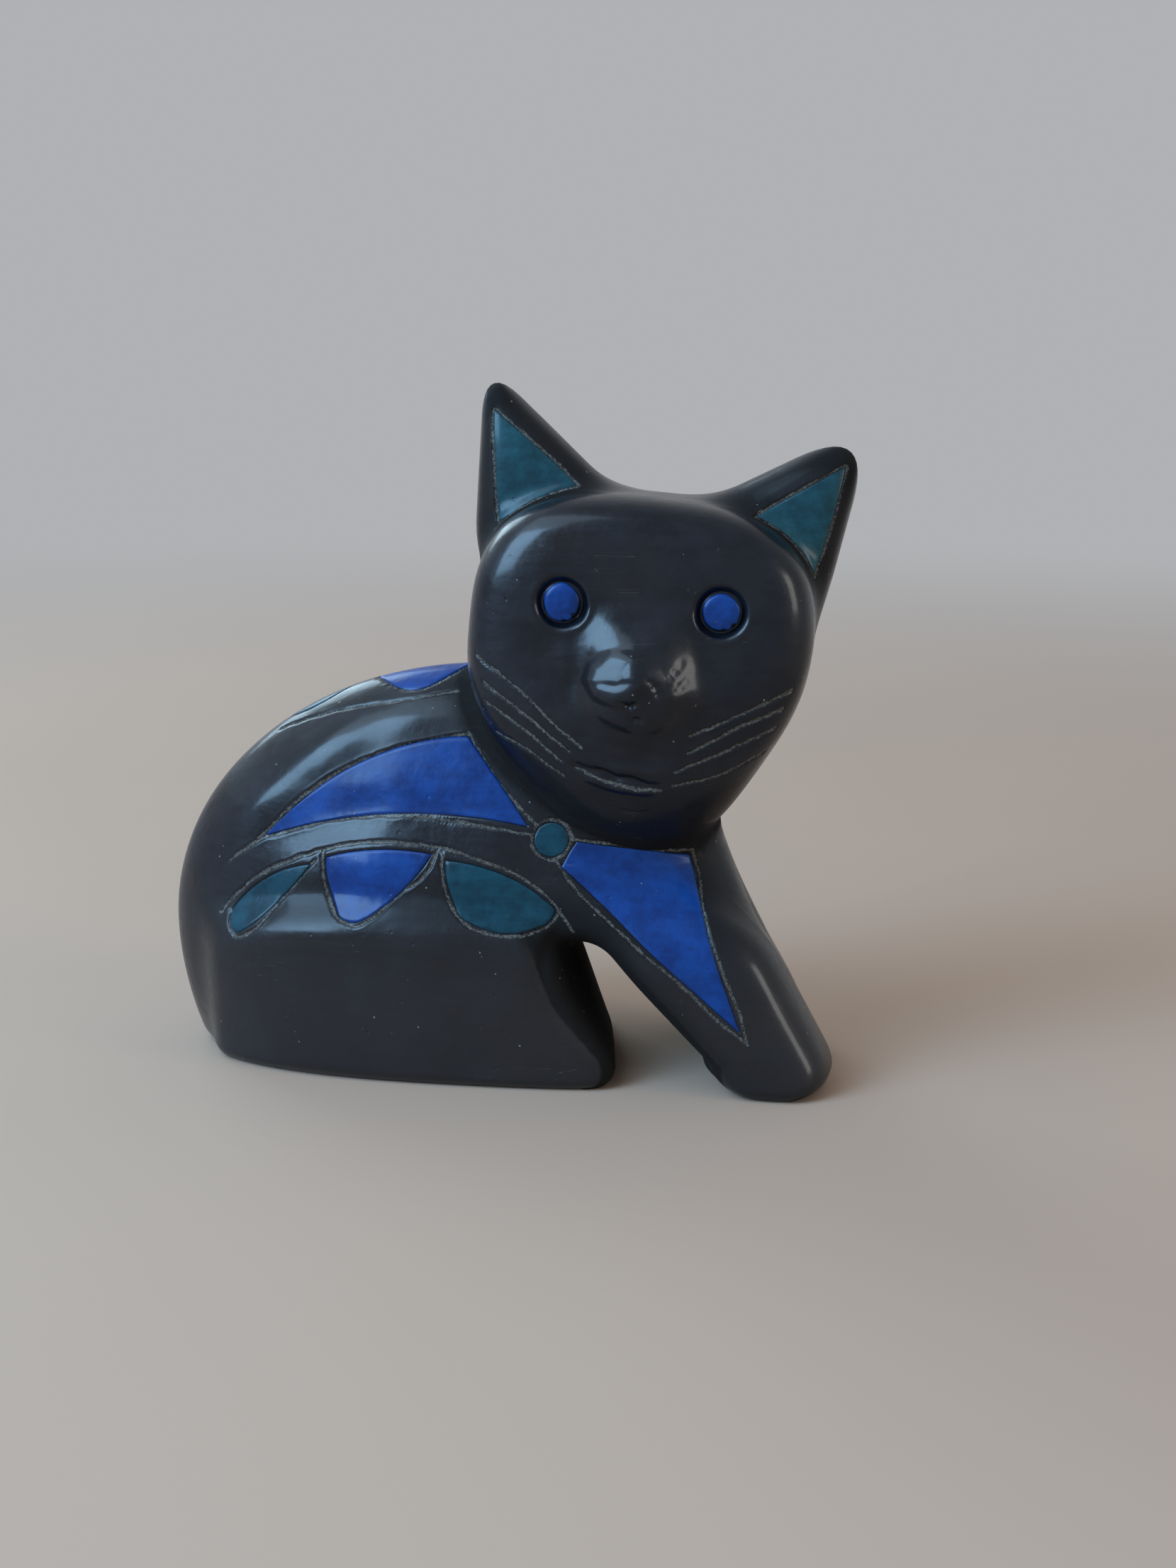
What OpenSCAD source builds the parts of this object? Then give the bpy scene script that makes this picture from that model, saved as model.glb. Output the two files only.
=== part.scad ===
// Burnished black clay cat, lying with its head turned to its right side.
// Units are millimetres. +X is the way the cat lies, +Z is up, and its right side faces -Y.
//
// The clay masses are one smooth form. Each mass is a function that is negative inside
// the clay, and soft_join() rounds the crease between two of them. A closed skin is
// found by following straight rays out from a centre until the form ends. Pieces are
// cut from the skins along the seams where a potter joins them, so they seat face
// to face. Every colour field is an inlay that lies in a matching pocket.

/* [Body] */
// Height of the middle of the trunk above the table
trunk_z = 24; // [20:0.5:26]
// Trunk height above that middle
trunk_rise = 49.7; // [45:0.1:53]
// Depth of the same oval below that middle, which sets how far the rump draws in
trunk_drop = 60; // [50:0.5:70]
// Trunk half width
trunk_half_w = 20.5; // [18:0.5:22]
// Reach of the rump behind the middle of the trunk
rump_reach = 60.3; // [56:0.1:64]
// Reach of the chest in front of the middle of the trunk
chest_reach = 47.6; // [44:0.1:50]
// Softness of the crease between trunk and haunches
haunch_blend = 5; // [4:0.5:9]

/* [Haunches] */
// Half length of the two haunches, seen from above
haunch_half_l = 53.5; // [50:0.5:56]
// Half width over both haunches
haunch_half_w = 23.5; // [22:0.5:25]
// Height of the ridge along the top of a haunch
haunch_top = 31.3; // [28:0.1:36]
// Drop of that ridge at the two ends of the haunch
haunch_drop = 3.5; // [1:0.5:5]
// Roundness of that ridge
ridge_round = 6; // [4:0.5:11]
// Thickness of the clay pad that makes a haunch
pad_thick = 7; // [5:0.5:8]

/* [Forelegs] */
// Middle of the paws along X
paw_x = 52; // [48:0.5:53]
// Lean of the legs, in millimetres back for each millimetre up
leg_lean = 0.7; // [0.6:0.01:0.75]
// Half length of a paw
paw_half_l = 11; // [9.5:0.5:12]
// Half width of one foreleg
leg_half_w = 12.3; // [11.5:0.1:13]
// Distance of a foreleg's axis from the middle of the cat
leg_offset = 11; // [10:0.5:12]
// Radius of the rounded front of a paw
paw_r = 8; // [5:0.5:9]

/* [Arch] */
// Height of the opening between haunches and forelegs
arch_h = 25; // [22:0.5:27]
// Where the front of the haunches meets the table
arch_back_x = 22.5; // [19:0.5:24]
// Where the back of the forelegs meets the table
arch_front_x = 41; // [38:0.5:43]

/* [Head] */
// Turn of the face from square to the body
head_turn = 4; // [0:0.5:10]
// Tilt of the head to its left
head_tilt = 6; // [0:0.5:10]
// Half width of the face
face_half_w = 30.2; // [28:0.1:32]
// Half depth of the head from face to nape
head_half_d = 21; // [19:0.5:23]
// Thickness of an ear
ear_thick = 14; // [11:0.5:15]
// Roundness of the right ear's corners
ear_right_round = 7; // [5:0.5:8]
// Roundness of the left ear's corners
ear_left_round = 12; // [7:0.5:13]
// How far the muzzle stands out from its seat
muzzle_out = 9; // [7:0.5:9.5]

/* [Eyes] */
// Diameter of an eye pellet
pellet_d = 6.2; // [5:0.1:7]
// Diameter of the sunk ring round a pellet
socket_d = 9.2; // [8.5:0.1:10]
// Depth of the sunk ring
socket_depth = 1.4; // [1:0.1:2]

/* [Colour fields] */
// Depth of the colour fields, measured across each field's own view
field_depth = 1.1; // [0.8:0.1:1.5]
// How far their face lies below the burnished skin
field_sunk = 0.15; // [0.05:0.05:0.3]

/* [Hollow] */
// Radius of the hollow in the trunk, across the body
hollow_r = 10; // [6:0.5:11]
// Thickness of the slab that closes the hollow
slab_thick = 4; // [3:0.5:5]
// Diameter of the firing vent in the slab
vent_d = 5; // [3:0.5:7]

/* [Hidden] */

// From the cat's own middle, where it is symmetric, to the middle of its whole outline
place = [-0.15, 3.6, 0];

clay = [0.075, 0.07, 0.07];
cobalt = [0.03, 0.09, 0.42];
teal = [0.02, 0.16, 0.17];

// The left side of the arch lies a little further back than the right side, and the
// left leg more so
skew = 0.14;
leg_skew = 0.23;
// Where the head sits, and its own axes: right, back and up as the cat's face is seen
head_at = [26.3, -6, 78];
right_axis = [cos(head_turn) * cos(head_tilt), sin(head_turn) * cos(head_tilt),
    -sin(head_tilt)];
back_axis = [-sin(head_turn), cos(head_turn), 0];
up_axis = cross(right_axis, back_axis);

// Ear corners in the head's own width and height, counter-clockwise
ear_right_corners = [[-31.8, 11.3], [0, 21], [-33.3, 47]];
ear_left_corners = [[30.7, 4], [36.4, 44.3], [2, 22.9]];
ear_mid_depth = 5;

// Radius of the rounded lower edge
edge_r = 2.5;
trunk_mid_x = -3;
haunch_plan_x = -5;
haunch_back_x = -53.3;
ridge_mid_x = -17;
ridge_half_l = 30;
// The forelegs end at this height inside the chest, and a paw's front slants back
// outwards by paw_slant for each millimetre
shoulder_z = 36;
paw_slant = 0.3;
leg_blend = 8;
// The seam from the arch to the chest, and the plane through the arch that it meets
chest_seam_x = -5;
arch_seam_x = 24;
arch_seam_lean = 0.18;
// A skin runs this far past a seam before the piece is cut there
seam_slack = 7;
far = 200;
solve_steps = 15;
max_ray = 90;

// ---------- smooth joins ----------

// Smaller of two fields, rounded over a band of width k
function soft_join(a, b, k) = min(a, b) - pow(max(k - abs(a - b), 0), 2) / (4 * k);

// Larger of two fields, rounded over a band of width k
function soft_cut(a, b, k) = -soft_join(-a, -b, k);

// Egg: an ellipsoid about c with half sizes r
function egg(p, c, r) =
    let (q = p - c, u = [q.x / r.x, q.y / r.y, q.z / r.z])
    let (w = [u.x / r.x, u.y / r.y, u.z / r.z], k = norm(u))
    k * (k - 1) / (norm(w) + 0.000001);

// Rounded block: like egg(), but with fuller corners as n grows past 2
function block(p, c, r, n) =
    let (u = [abs(p.x - c.x) / r.x, abs(p.y - c.y) / r.y, abs(p.z - c.z) / r.z])
    let (k = pow(pow(u.x, n) + pow(u.y, n) + pow(u.z, n), 1 / n) + 0.000001)
    let (g = [pow(u.x / k, n - 1) / r.x, pow(u.y / k, n - 1) / r.y,
        pow(u.z / k, n - 1) / r.z])
    (k - 1) / (norm(g) + 0.000001);

// Rounded oval column: the plan of block() at any height
function column(x, y, a, b, n) =
    let (u = abs(x) / a, v = abs(y) / b, k = pow(pow(u, n) + pow(v, n), 1 / n) + 0.000001)
    let (g = [pow(u / k, n - 1) / a, pow(v / k, n - 1) / b])
    (k - 1) / (norm(g) + 0.000001);

// Tapered rod from a, of radius ra, to b, of radius rb
function rod(p, a, b, ra, rb) =
    let (ab = b - a, t = max(0, min(1, (p - a) * ab / (ab * ab))))
    norm(p - a - t * ab) - ra - (rb - ra) * t;

// How far an upright wall draws in at height z, to stand on a rounded edge of radius r
function drawn_in(z, r) = let (h = max(0, min(r, z))) r - sqrt(h * (2 * r - h));

// Smooth step from 0 at t = 0 to 1 at t = 1
function ease(t) = let (u = max(0, min(1, t))) u * u * (3 - 2 * u);

// Signed distance of a point from the line a-b, positive on its right
function edge(x, z, a, b) =
    ((x - a[0]) * (b[1] - a[1]) - (z - a[1]) * (b[0] - a[0])) / norm(b - a);

// ---------- the cat's masses, in the cat's own frame ----------

// The trunk reaches further back than it does forward, and draws in below
function trunk(p) = egg(p, [trunk_mid_x, 0, trunk_z],
    [p.x < trunk_mid_x ? rump_reach : chest_reach, trunk_half_w,
        p.z < trunk_z ? trunk_drop : trunk_rise]);

// Flat-sided haunches with one ridge along their top, cut across at the back
function haunches(p) =
    let (ridge = p.z - haunch_top + haunch_drop * pow((p.x - ridge_mid_x) / ridge_half_l, 2))
    soft_cut(soft_cut(column(p.x - haunch_plan_x, p.y, haunch_half_l, haunch_half_w, 2.5),
        ridge, ridge_round), haunch_back_x - p.x, 3);

// Two leaning forelegs, joined along the middle. Their fronts slant back outwards, and
// are round where they meet the table.
function forelegs(p) =
    let (y = abs(p.y) - leg_offset + 0.05 * p.z)
    let (x = p.x + leg_skew * p.y - paw_x + leg_lean * p.z + paw_slant * max(0, y))
    let (half_l = paw_half_l + 0.15 * p.z - (x > 0 ? drawn_in(p.z, paw_r) : 0))
    soft_cut(0.8 * column(x, y, half_l, leg_half_w, 3.2), p.z - shoulder_z, 14);

// Trunk, haunches and legs in one
function body(p) =
    soft_join(soft_join(trunk(p), haunches(p), haunch_blend), forelegs(p), leg_blend);

// Rounded slab with three corners c, of roundness r
function ear(q, c, r) = soft_cut(
    soft_cut(soft_cut(edge(q.x, q.z, c[0], c[1]), edge(q.x, q.z, c[1], c[2]), r),
        edge(q.x, q.z, c[2], c[0]), r),
    abs(q.y - ear_mid_depth) - ear_thick / 2, 8);

// The skull is a deep rounded disc, narrowed to a jaw. The muzzle carries a nose ridge.
function skull(q) = soft_cut(
    soft_join(block(q, [0, 3, 3], [face_half_w, head_half_d, 24.5], 2.8),
        egg(q, [1.3, 2, -12], [25.3, 20, 24.4]), 8),
    0.9 * (q.x - 22.7) - 0.45 * (q.z + 22), 6);
function nose_ridge(q) = rod(q, [0, -13.5, 9], [0.8, -19, -2], 4.2, 5.6);
function muzzle_mound(q) = egg(q, [1.5, -15, -5], [10.5, muzzle_out, 10]);
function head(q) = soft_join(soft_join(
    soft_join(soft_join(skull(q), ear(q, ear_right_corners, ear_right_round), 4),
        ear(q, ear_left_corners, ear_left_round), 4),
    nose_ridge(q), 5), muzzle_mound(q), 3);

function to_head(p) = [(p - head_at) * right_axis, (p - head_at) * back_axis,
    (p - head_at) * up_axis];
function from_head(q) = head_at + q.x * right_axis + q.y * back_axis + q.z * up_axis;

// ---------- seams between the clay pieces ----------

// Positive in front of the seam that runs from the arch up to the chest
function chest_seam(p) = (p.x + skew * p.y - chest_seam_x - p.z) / sqrt(2);
// Positive in front of a plane that runs down through the open arch
function arch_seam(p) = p.x + skew * p.y + arch_seam_lean * p.z - arch_seam_x;

// The form that each skin follows: clay, inside the piece's own cell
function form(kind, p) =
    kind == "rear" ?
        max(body(p), min(chest_seam(p), arch_seam(p)) - seam_slack) :
    kind == "legs" ?
        max(body(p), -seam_slack - chest_seam(p), -seam_slack - arch_seam(p)) :
    kind == "whole" ? body(p) :
    kind == "head" ? head(p) :
    max(head(p), p.y - muzzle_seat_y - seam_slack);

// ---------- skins ----------

// Distance from c along d at which the form ends
function reach(kind, c, d, near, away, n) =
    let (m = (near + away) / 2)
    n == 0 ? m :
    form(kind, c + m * d) < 0 ? reach(kind, c, d, m, away, n - 1) :
        reach(kind, c, d, near, m, n - 1);

function ray_end(kind, c, d, r) = c + d * reach(kind, c, d, 0, r, solve_steps);

// Rings of points round a centre: from the face pole at -Y back to the nape, with the
// angles of the rings in tilts and those along a ring, from the crown, in turns
function ball_points(kind, c, tilts, turns, r) =
    concat([ray_end(kind, c, [0, -1, 0], r)],
        [for (t = tilts, f = turns)
            ray_end(kind, c, [-sin(f) * sin(t), -cos(t), cos(f) * sin(t)], r)],
        [ray_end(kind, c, [0, 1, 0], r)]);

// Faces of a ball of rings, seen clockwise from outside
function skin_faces(around, rings) =
    let (last = (rings - 1) * around + 1)
    concat(
        [for (j = [0:around - 1]) [0, 1 + (j + 1) % around, 1 + j]],
        [for (i = [0:rings - 3], j = [0:around - 1])
            let (m = 1 + i * around, k = (j + 1) % around)
            for (f = [[m + j, m + k, m + around + j], [m + k, m + around + k, m + around + j]])
                f],
        [for (j = [0:around - 1])
            [last, last - around + j, last - around + (j + 1) % around]]);

module ball_skin(kind, c, tilts, turns, r = max_ray) {
    polyhedron(ball_points(kind, c, tilts, turns, r),
        skin_faces(len(turns), len(tilts) + 1));
}

// count equal steps from a up to, but not including, b
function steps(a, b, count) = [for (i = [0:count - 1]) a + (b - a) * i / count];

// Level rings round the body's middle, from the table up. The rays spread like an
// oval's, long times as far along X as across.
function stack_points(kind, levels, around, long) = concat(
    [slice_middle(kind, levels[0])],
    [for (z = levels, j = [0:around - 1])
        let (f = 360 * j / around, d = [long * cos(f), -sin(f), 0] / norm([long * cos(f), sin(f)]))
        let (c = slice_middle(kind, z))
        c + d * (reach(kind, c, d, 0, max_ray, solve_steps) - drawn_in(z, edge_r))],
    [slice_middle(kind, levels[len(levels) - 1]) + [0, 0, 0.4]]);

module stack_skin(kind, levels, around, long) {
    polyhedron(stack_points(kind, levels, around, long), skin_faces(around, len(levels) + 1));
}

// Everything on the far side of the plane through n * d, for a direction n
module beyond(n, d) {
    u = n / norm(n);
    rotate([0, acos(u.z), atan2(u.y, u.x)])
        translate([-far, -far, d / norm(n)])
            cube(2 * far);
}

// Makes a cut piece as one closed surface
module one_skin() {
    resize([0, 0, 0])
        children();
}

module in_head_frame() {
    multmatrix([
        [right_axis.x, back_axis.x, up_axis.x, head_at.x],
        [right_axis.y, back_axis.y, up_axis.y, head_at.y],
        [right_axis.z, back_axis.z, up_axis.z, head_at.z]])
        children();
}

// ---------- colour fields ----------

// Each outline has four corners and the point halfway along each side, in this order:
// corner, side, corner, side, ... The first side is the lower one.
function side_at(a, m, b, s) =
    (1 - s) * (1 - s) * a + 2 * s * (1 - s) * (2 * m - (a + b) / 2) + s * s * b;

// Point of a four-sided patch: s runs along it, t across it
function patch_at(o, s, t) =
    (1 - t) * side_at(o[0], o[1], o[2], s) + t * side_at(o[6], o[5], o[4], s)
    + (1 - s) * side_at(o[0], o[7], o[6], t) + s * side_at(o[2], o[3], o[4], t)
    - (1 - s) * (1 - t) * o[0] - s * (1 - t) * o[2] - s * t * o[4] - (1 - s) * t * o[6];

shoulder_outline = [[-41.8, 42.8], [-17, 48.6], [8.4, 47], [3, 54.4],
    [-3.8, 62.8], [-23.5, 57.6], [-42, 43.4], [-41.9, 43.1]];
leg_outline = [[13.6, 40.4], [30.6, 26], [47.1, 11.6], [41, 28.2],
    [36, 41.8], [25.6, 43.5], [16.4, 45], [14.9, 42.7]];
dot_outline = [[9.7, 42.8], [12, 41.9], [14.3, 42.8], [15.2, 45.1],
    [14.3, 47.4], [12, 48.3], [9.7, 47.4], [8.8, 45.1]];
rear_scallop_outline = [[-46.5, 25], [-39.5, 30.4], [-32.2, 38.4], [-32.1, 38.7],
    [-32.5, 39], [-41, 35.9], [-48.4, 29.5], [-48.7, 26.4]];
middle_scallop_outline = [[-26.3, 30.3], [-23.4, 29.4], [-20.5, 30.5], [-13.8, 35.8],
    [-8.9, 42.2], [-19.5, 42.6], [-29.7, 40.4], [-28.8, 35.3]];
front_scallop_outline = [[-4, 31.3], [3.8, 28.8], [11.4, 30], [12.7, 31.4],
    [13.3, 33], [4, 39], [-7.3, 41.4], [-6.2, 35.6]];
withers_outline = [[-22.8, -1.5], [-14.5, -7.3], [-5.5, -1.5], [-4.6, 0],
    [-5.5, 1.5], [-14.5, 7.3], [-22.8, 1.5], [-23.4, 0]];
back_outline = [[-40.8, -0.4], [-34.5, -3.4], [-28.2, -0.4], [-28, 0],
    [-28.2, 0.4], [-34.5, 3.4], [-40.8, 0.4], [-41, 0]];
ear_right_outline = [[-27.4, 19.4], [-20.8, 24.6], [-13.6, 27.6], [-21.4, 33.4],
    [-30.1, 39.2], [-30.3, 39.2], [-30.5, 39], [-29.2, 29.4]];
ear_left_outline = [[17.2, 25.8], [24.3, 22.2], [29, 16.3], [31, 26],
    [32.3, 35.7], [32.1, 35.9], [31.9, 36], [24.6, 31]];

// A field on the cat's side (-1 right, 1 left) is seen along Y, from a start inside it
function side_start(u, side) = [u[0], side * 2, u[1]];
// The far legs lie back by the skew, less so up at the shoulder
function leg_start(u, side) =
    side_start([u[0] - (side + 1) * leg_skew * 20 * (1 - u[1] / 47), u[1]], side);
function top_start(u) = [u[0], u[1], 40];
function ear_start(u) = [u[0], ear_mid_depth, u[1]];

function field_start(way, u) =
    way == "side_right" ? side_start(u, -1) :
    way == "side_left" ? side_start(u, 1) :
    way == "leg_right" ? leg_start(u, -1) :
    way == "leg_left" ? leg_start(u, 1) :
    way == "top" ? top_start(u) : ear_start(u);
function field_ray(way) =
    way == "top" ? [0, 0, 1] :
    way == "side_left" || way == "leg_left" ? [0, 1, 0] : [0, -1, 0];
function field_form(way) = way == "ear" ? "head" : "whole";

// Layer of a field's points, at a height above the skin
function layer(way, o, along, across, rise) =
    [for (j = [0:across], i = [0:along])
        let (c = field_start(way, patch_at(o, i / along, j / across)), d = field_ray(way))
        c + d * (reach(field_form(way), c, d, 0, 50, solve_steps) + rise)];

// Faces of a plate of two layers, the lower layer first, seen clockwise from outside
function plate_faces(along, across, flip) =
    let (w = along + 1, n = w * (across + 1))
    let (tris = concat(
        [for (j = [0:across - 1], i = [0:along - 1]) let (a = j * w + i)
            for (f = [[a, a + 1, a + w], [a + 1, a + w + 1, a + w]]) f],
        [for (j = [0:across - 1], i = [0:along - 1]) let (a = n + j * w + i)
            for (f = [[a, a + w, a + 1], [a + 1, a + w, a + w + 1]]) f],
        [for (i = [0:along - 1], e = [0, 1])
            let (a = i + e * across * w, b = a + 1)
            for (f = e == 0 ? [[a, a + n, b], [b, a + n, b + n]] :
                [[a, b, a + n], [b, b + n, a + n]]) f],
        [for (j = [0:across - 1], e = [0, 1])
            let (a = j * w + e * along, b = a + w)
            for (f = e == 0 ? [[a, b, a + n], [b, b + n, a + n]] :
                [[a, a + n, b], [b, a + n, b + n]]) f]))
    flip ? [for (f = tris) [f[0], f[2], f[1]]] : tris;

// Does a plate in this view need its faces turned over?
function turned(way) = way == "side_left" || way == "leg_left";

module plate(way, o, top, along, across) {
    polyhedron(concat(layer(way, o, along, across, -field_depth),
        layer(way, o, along, across, top)), plate_faces(along, across, turned(way)));
}

// The inlay itself, just below the skin, and the cutter that makes its pocket
module field(way, o, along = 6, across = 4) {
    plate(way, o, -field_sunk, along, across);
}
module pocket(way, o, along = 6, across = 4) {
    plate(way, o, 3, along, across);
}

module flank_pockets(side) {
    tag = side < 0 ? "right" : "left";
    pocket(str("side_", tag), shoulder_outline);
    pocket(str("side_", tag), dot_outline, 4, 4);
    pocket(str("leg_", tag), leg_outline);
}

module scallop_pockets(side) {
    tag = side < 0 ? "right" : "left";
    pocket(str("side_", tag), rear_scallop_outline, 6, 3);
    pocket(str("side_", tag), middle_scallop_outline, 6, 4);
    pocket(str("side_", tag), front_scallop_outline, 6, 4);
}

// ---------- clay masses ----------

rear_levels = [0, 0.6, 1.6, 3.5, 8, 14, 20, 24, 26.5, 28, 29.2, 30.4, 31.8, 34, 37, 41,
    45, 49, 53, 57, 61, 64.5, 67.5, 70, 72, 73.5];
leg_levels = [0, 0.6, 1.6, 3.2, 5.4, 8, 12, 16, 20, 24, 27.5, 31, 34.5, 38, 41, 44, 46.5];

// Middle of a level slice: over the trunk's middle, or up the forelegs to the chest.
// Below, it moves back as the front of the paws draws in.
function slice_middle(kind, z) =
    kind == "rear" ? [-4, 0, z] :
    [max(paw_x - leg_lean * z - drawn_in(z, paw_r) / 3, z - 9), 0, z];

// Trunk and haunches, cut along the seam to the forelegs
module rear_mass() {
    difference() {
        stack_skin("rear", rear_levels, 48, 2.3);
        intersection() {
            beyond([1, skew, -1], chest_seam_x);
            beyond([1, skew, arch_seam_lean], arch_seam_x);
        }
        arch_opening();
    }
}

module legs_mass() {
    difference() {
        stack_skin("legs", leg_levels, 40, 0.55);
        beyond([-1, -skew, 1], -chest_seam_x);
        beyond([-1, -skew, -arch_seam_lean], -arch_seam_x);
        arch_opening();
    }
}

// The opening under the chest. Its back is scooped on both sides, its front leans, and
// it flares towards both flanks so that its rims are round. The toes of the haunches and
// the heels of the paws are round where they meet the table.
arch_half_w = 22.5;
arch_rim_r = 4;
arch_apex_x = 18;
arch_crown = 3.5;
arch_back_lean = 0.36;
arch_scoop = 6;
arch_scoop_h = 11;
toe_r = 5;
heel_x = 36.6;
heel_r = 4.5;
arch_rings = [-27, -24, -22.5, -21, -19.5, -18, -12, -6, 0, 6, 12, 18, 19.5, 21, 22.5,
    24, 27];
arch_heights = [-6, 0, 0.8, 2.2, 4.8, 8, 11, 15, 18.5];

function arch_flare(y) =
    arch_rim_r * pow(max(0, abs(y) - arch_half_w + arch_rim_r) / arch_rim_r, 2);
function arch_back(y, z) =
    arch_back_x - arch_back_lean * z - arch_flare(y)
    - arch_scoop * pow(y / arch_half_w, 2) * ease(z / arch_scoop_h)
    - drawn_in(z, toe_r);
function arch_front(y, z) =
    min(arch_front_x - (arch_front_x - arch_apex_x) * z / arch_h, heel_x + drawn_in(z, heel_r))
    + arch_flare(y) / cos(40);

// Outline of the opening at one depth y, up its back, over its crown and down its front
function arch_ring(y) =
    let (spring = arch_h - arch_crown, crown = arch_crown + 0.6 * arch_flare(y))
    let (a = arch_back(y, spring), b = arch_front(y, spring))
    let (outline = concat(
        [for (z = arch_heights) [arch_back(y, z), z]],
        [for (t = [0:30:180])
            [(a + b) / 2 - (b - a) / 2 * cos(t), spring + crown * sin(t)]],
        [for (i = [len(arch_heights) - 1:-1:0])
            let (z = arch_heights[i]) [arch_front(y, z), z]]))
    [for (p = outline) [p[0] - skew * y, y, p[1]]];

module arch_opening() {
    n = len(arch_ring(0));
    last = (len(arch_rings) - 1) * n;
    polyhedron([for (y = arch_rings) each arch_ring(y)], concat(
        [[for (j = [0:n - 1]) j], [for (j = [n - 1:-1:0]) last + j]],
        [for (i = [0:len(arch_rings) - 2], j = [0:n - 1])
            let (a = i * n + j, b = i * n + (j + 1) % n)
            for (f = [[a, a + n, b], [b, a + n, b + n]]) f]));
}

// Skull, ears and muzzle in one, in the head's own frame. The rings crowd together at
// the ears' own plane, and the points along them at the ear tips.
head_centre = [0, 5, 0];
head_tilts = [for (i = [-13:13]) 90 + 90 * sign(i) * pow(abs(i) / 14, 1.3)];
head_turns = concat(steps(-60, -28, 9), steps(-28, 24, 7), steps(24, 54, 9),
    steps(54, 300, 24));

module head_mass() {
    ball_skin("head", head_centre, head_tilts, head_turns);
}

// Where the thigh pads lie: below an arc over each haunch and outside the trunk's core
arc_back = [-50, 29.5];
arc_top = [-17, 44];
arc_front = [16, 29.5];

module thigh_zone() {
    difference() {
        rotate([90, 0, 0])
            linear_extrude(120, center = true)
                polygon(concat([[-50, -5]],
                    [for (i = [0:12]) side_at(arc_back, arc_top, arc_front, i / 12)],
                    [[21, 24], [32, -5]]));
        translate([haunch_plan_x, 0, -10])
            scale([haunch_half_l - pad_thick, haunch_half_w - pad_thick, 1])
                cylinder(80, r = 1, $fn = 48);
    }
}

// Half of everything: side -1 is the cat's right, side 1 its left
module half(side) {
    translate([-far, side < 0 ? -far : 0, -far])
        cube([2 * far, far, 2 * far]);
}

// ---------- hollow, slab and vent ----------

slab_points = [[-33, 0], [2, 0]];
slab_r = 9.5;
slab_ledge = 3;

module slab_plan(grow) {
    hull() {
        translate(slab_points[0])
            circle(slab_r + grow, $fn = 48);
        translate(slab_points[1])
            circle(slab_r + grow, $fn = 48);
    }
}

// Hollow of the trunk, its way down to the slab and its way up into the head
module trunk_hollow() {
    hull() {
        for (c = [[-38, 18], [-30, 42], [-4, 54], [12, 44], [4, 18]])
            translate([c[0], 0, c[1]])
                sphere(hollow_r, $fn = 16);
    }
    translate([0, 0, -1])
        linear_extrude(slab_thick + 1)
            slab_plan(0);
    linear_extrude(20)
        slab_plan(-slab_ledge);
}
neck_r = 5;
module neck_way() {
    hull() {
        translate([10, 0, 48])
            sphere(neck_r, $fn = 12);
        translate(head_at + [-4, 0, -6])
            sphere(neck_r, $fn = 12);
    }
}
module head_hollow() {
    translate([0, 4, 1])
        scale([22, 13, 19])
            sphere(1, $fn = 20);
}

// ---------- face ----------

eye_x = 13.6;
eye_height = 9.4;
face_y = -17;
muzzle_seat_y = -13.5;
muzzle_centre = [1.5, -15, -4];

// Oval plug of clay that carries the muzzle
module muzzle_zone() {
    translate([1.5, muzzle_seat_y, -4])
        rotate([90, 0, 0])
            linear_extrude(40)
                scale([12.2, 13.5])
                    circle(1, $fn = 48);
}

module sockets() {
    for (x = [-eye_x, eye_x])
        translate([x, face_y + socket_depth, eye_height])
            rotate([90, 0, 0])
                cylinder(20, d = socket_d, $fn = 28);
}

// Low domed pellet that sits on the socket's floor
module pellet(x) {
    dome = 0.5;
    dome_r = (pow(pellet_d / 2, 2) + dome * dome) / (2 * dome);
    color(cobalt)
        in_head_frame()
            translate([x, face_y + socket_depth, eye_height])
                rotate([90, 0, 0])
                    intersection() {
                        cylinder(socket_depth + dome, d = pellet_d, $fn = 48);
                        translate([0, 0, socket_depth + dome - dome_r])
                            sphere(dome_r, $fn = 96);
                    }
}

// ---------- pieces ----------

module body_shell() {
    color(clay)
        one_skin()
            difference() {
                rear_mass();
                thigh_zone();
                in_head_frame()
                    head_mass();
                trunk_hollow();
                neck_way();
                flank_pockets(-1);
                flank_pockets(1);
                pocket("top", withers_outline, 6, 4);
                pocket("top", back_outline, 6, 4);
            }
}

module base_slab() {
    color(clay)
        difference() {
            linear_extrude(slab_thick)
                slab_plan(0);
            translate([-15, 0, -1])
                cylinder(slab_thick + 2, d = vent_d, $fn = 32);
        }
}

module haunch(side) {
    color(clay)
        one_skin()
            difference() {
                intersection() {
                    rear_mass();
                    thigh_zone();
                    half(side);
                }
                scallop_pockets(side);
            }
}

module foreleg(side) {
    color(clay)
        one_skin()
            difference() {
                intersection() {
                    legs_mass();
                    half(side);
                }
                in_head_frame()
                    head_mass();
                flank_pockets(side);
            }
}

module head_shell() {
    color(clay)
        one_skin()
            difference() {
                in_head_frame()
                    difference() {
                        head_mass();
                        ear_cells();
                        muzzle_zone();
                        sockets();
                        head_hollow();
                    }
                neck_way();
            }
}

// Everything above the two ear seams
module ear_cells() {
    ear_right_cell();
    ear_left_cell();
}
module ear_right_cell() {
    cell_above([-34, 11], [-6, 30], -1);
}
module ear_left_cell() {
    cell_above([7, 30], [33, 10], 1);
}

// The part of the head's own space above the line a-b, on one side of the middle
module cell_above(a, b, side) {
    up = [a[1] - b[1], b[0] - a[0]];
    intersection() {
        beyond([up[0], 0, up[1]], up * a);
        translate([side < 0 ? -far : 0, -far, -far])
            cube([far, 2 * far, 2 * far]);
    }
}

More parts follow.
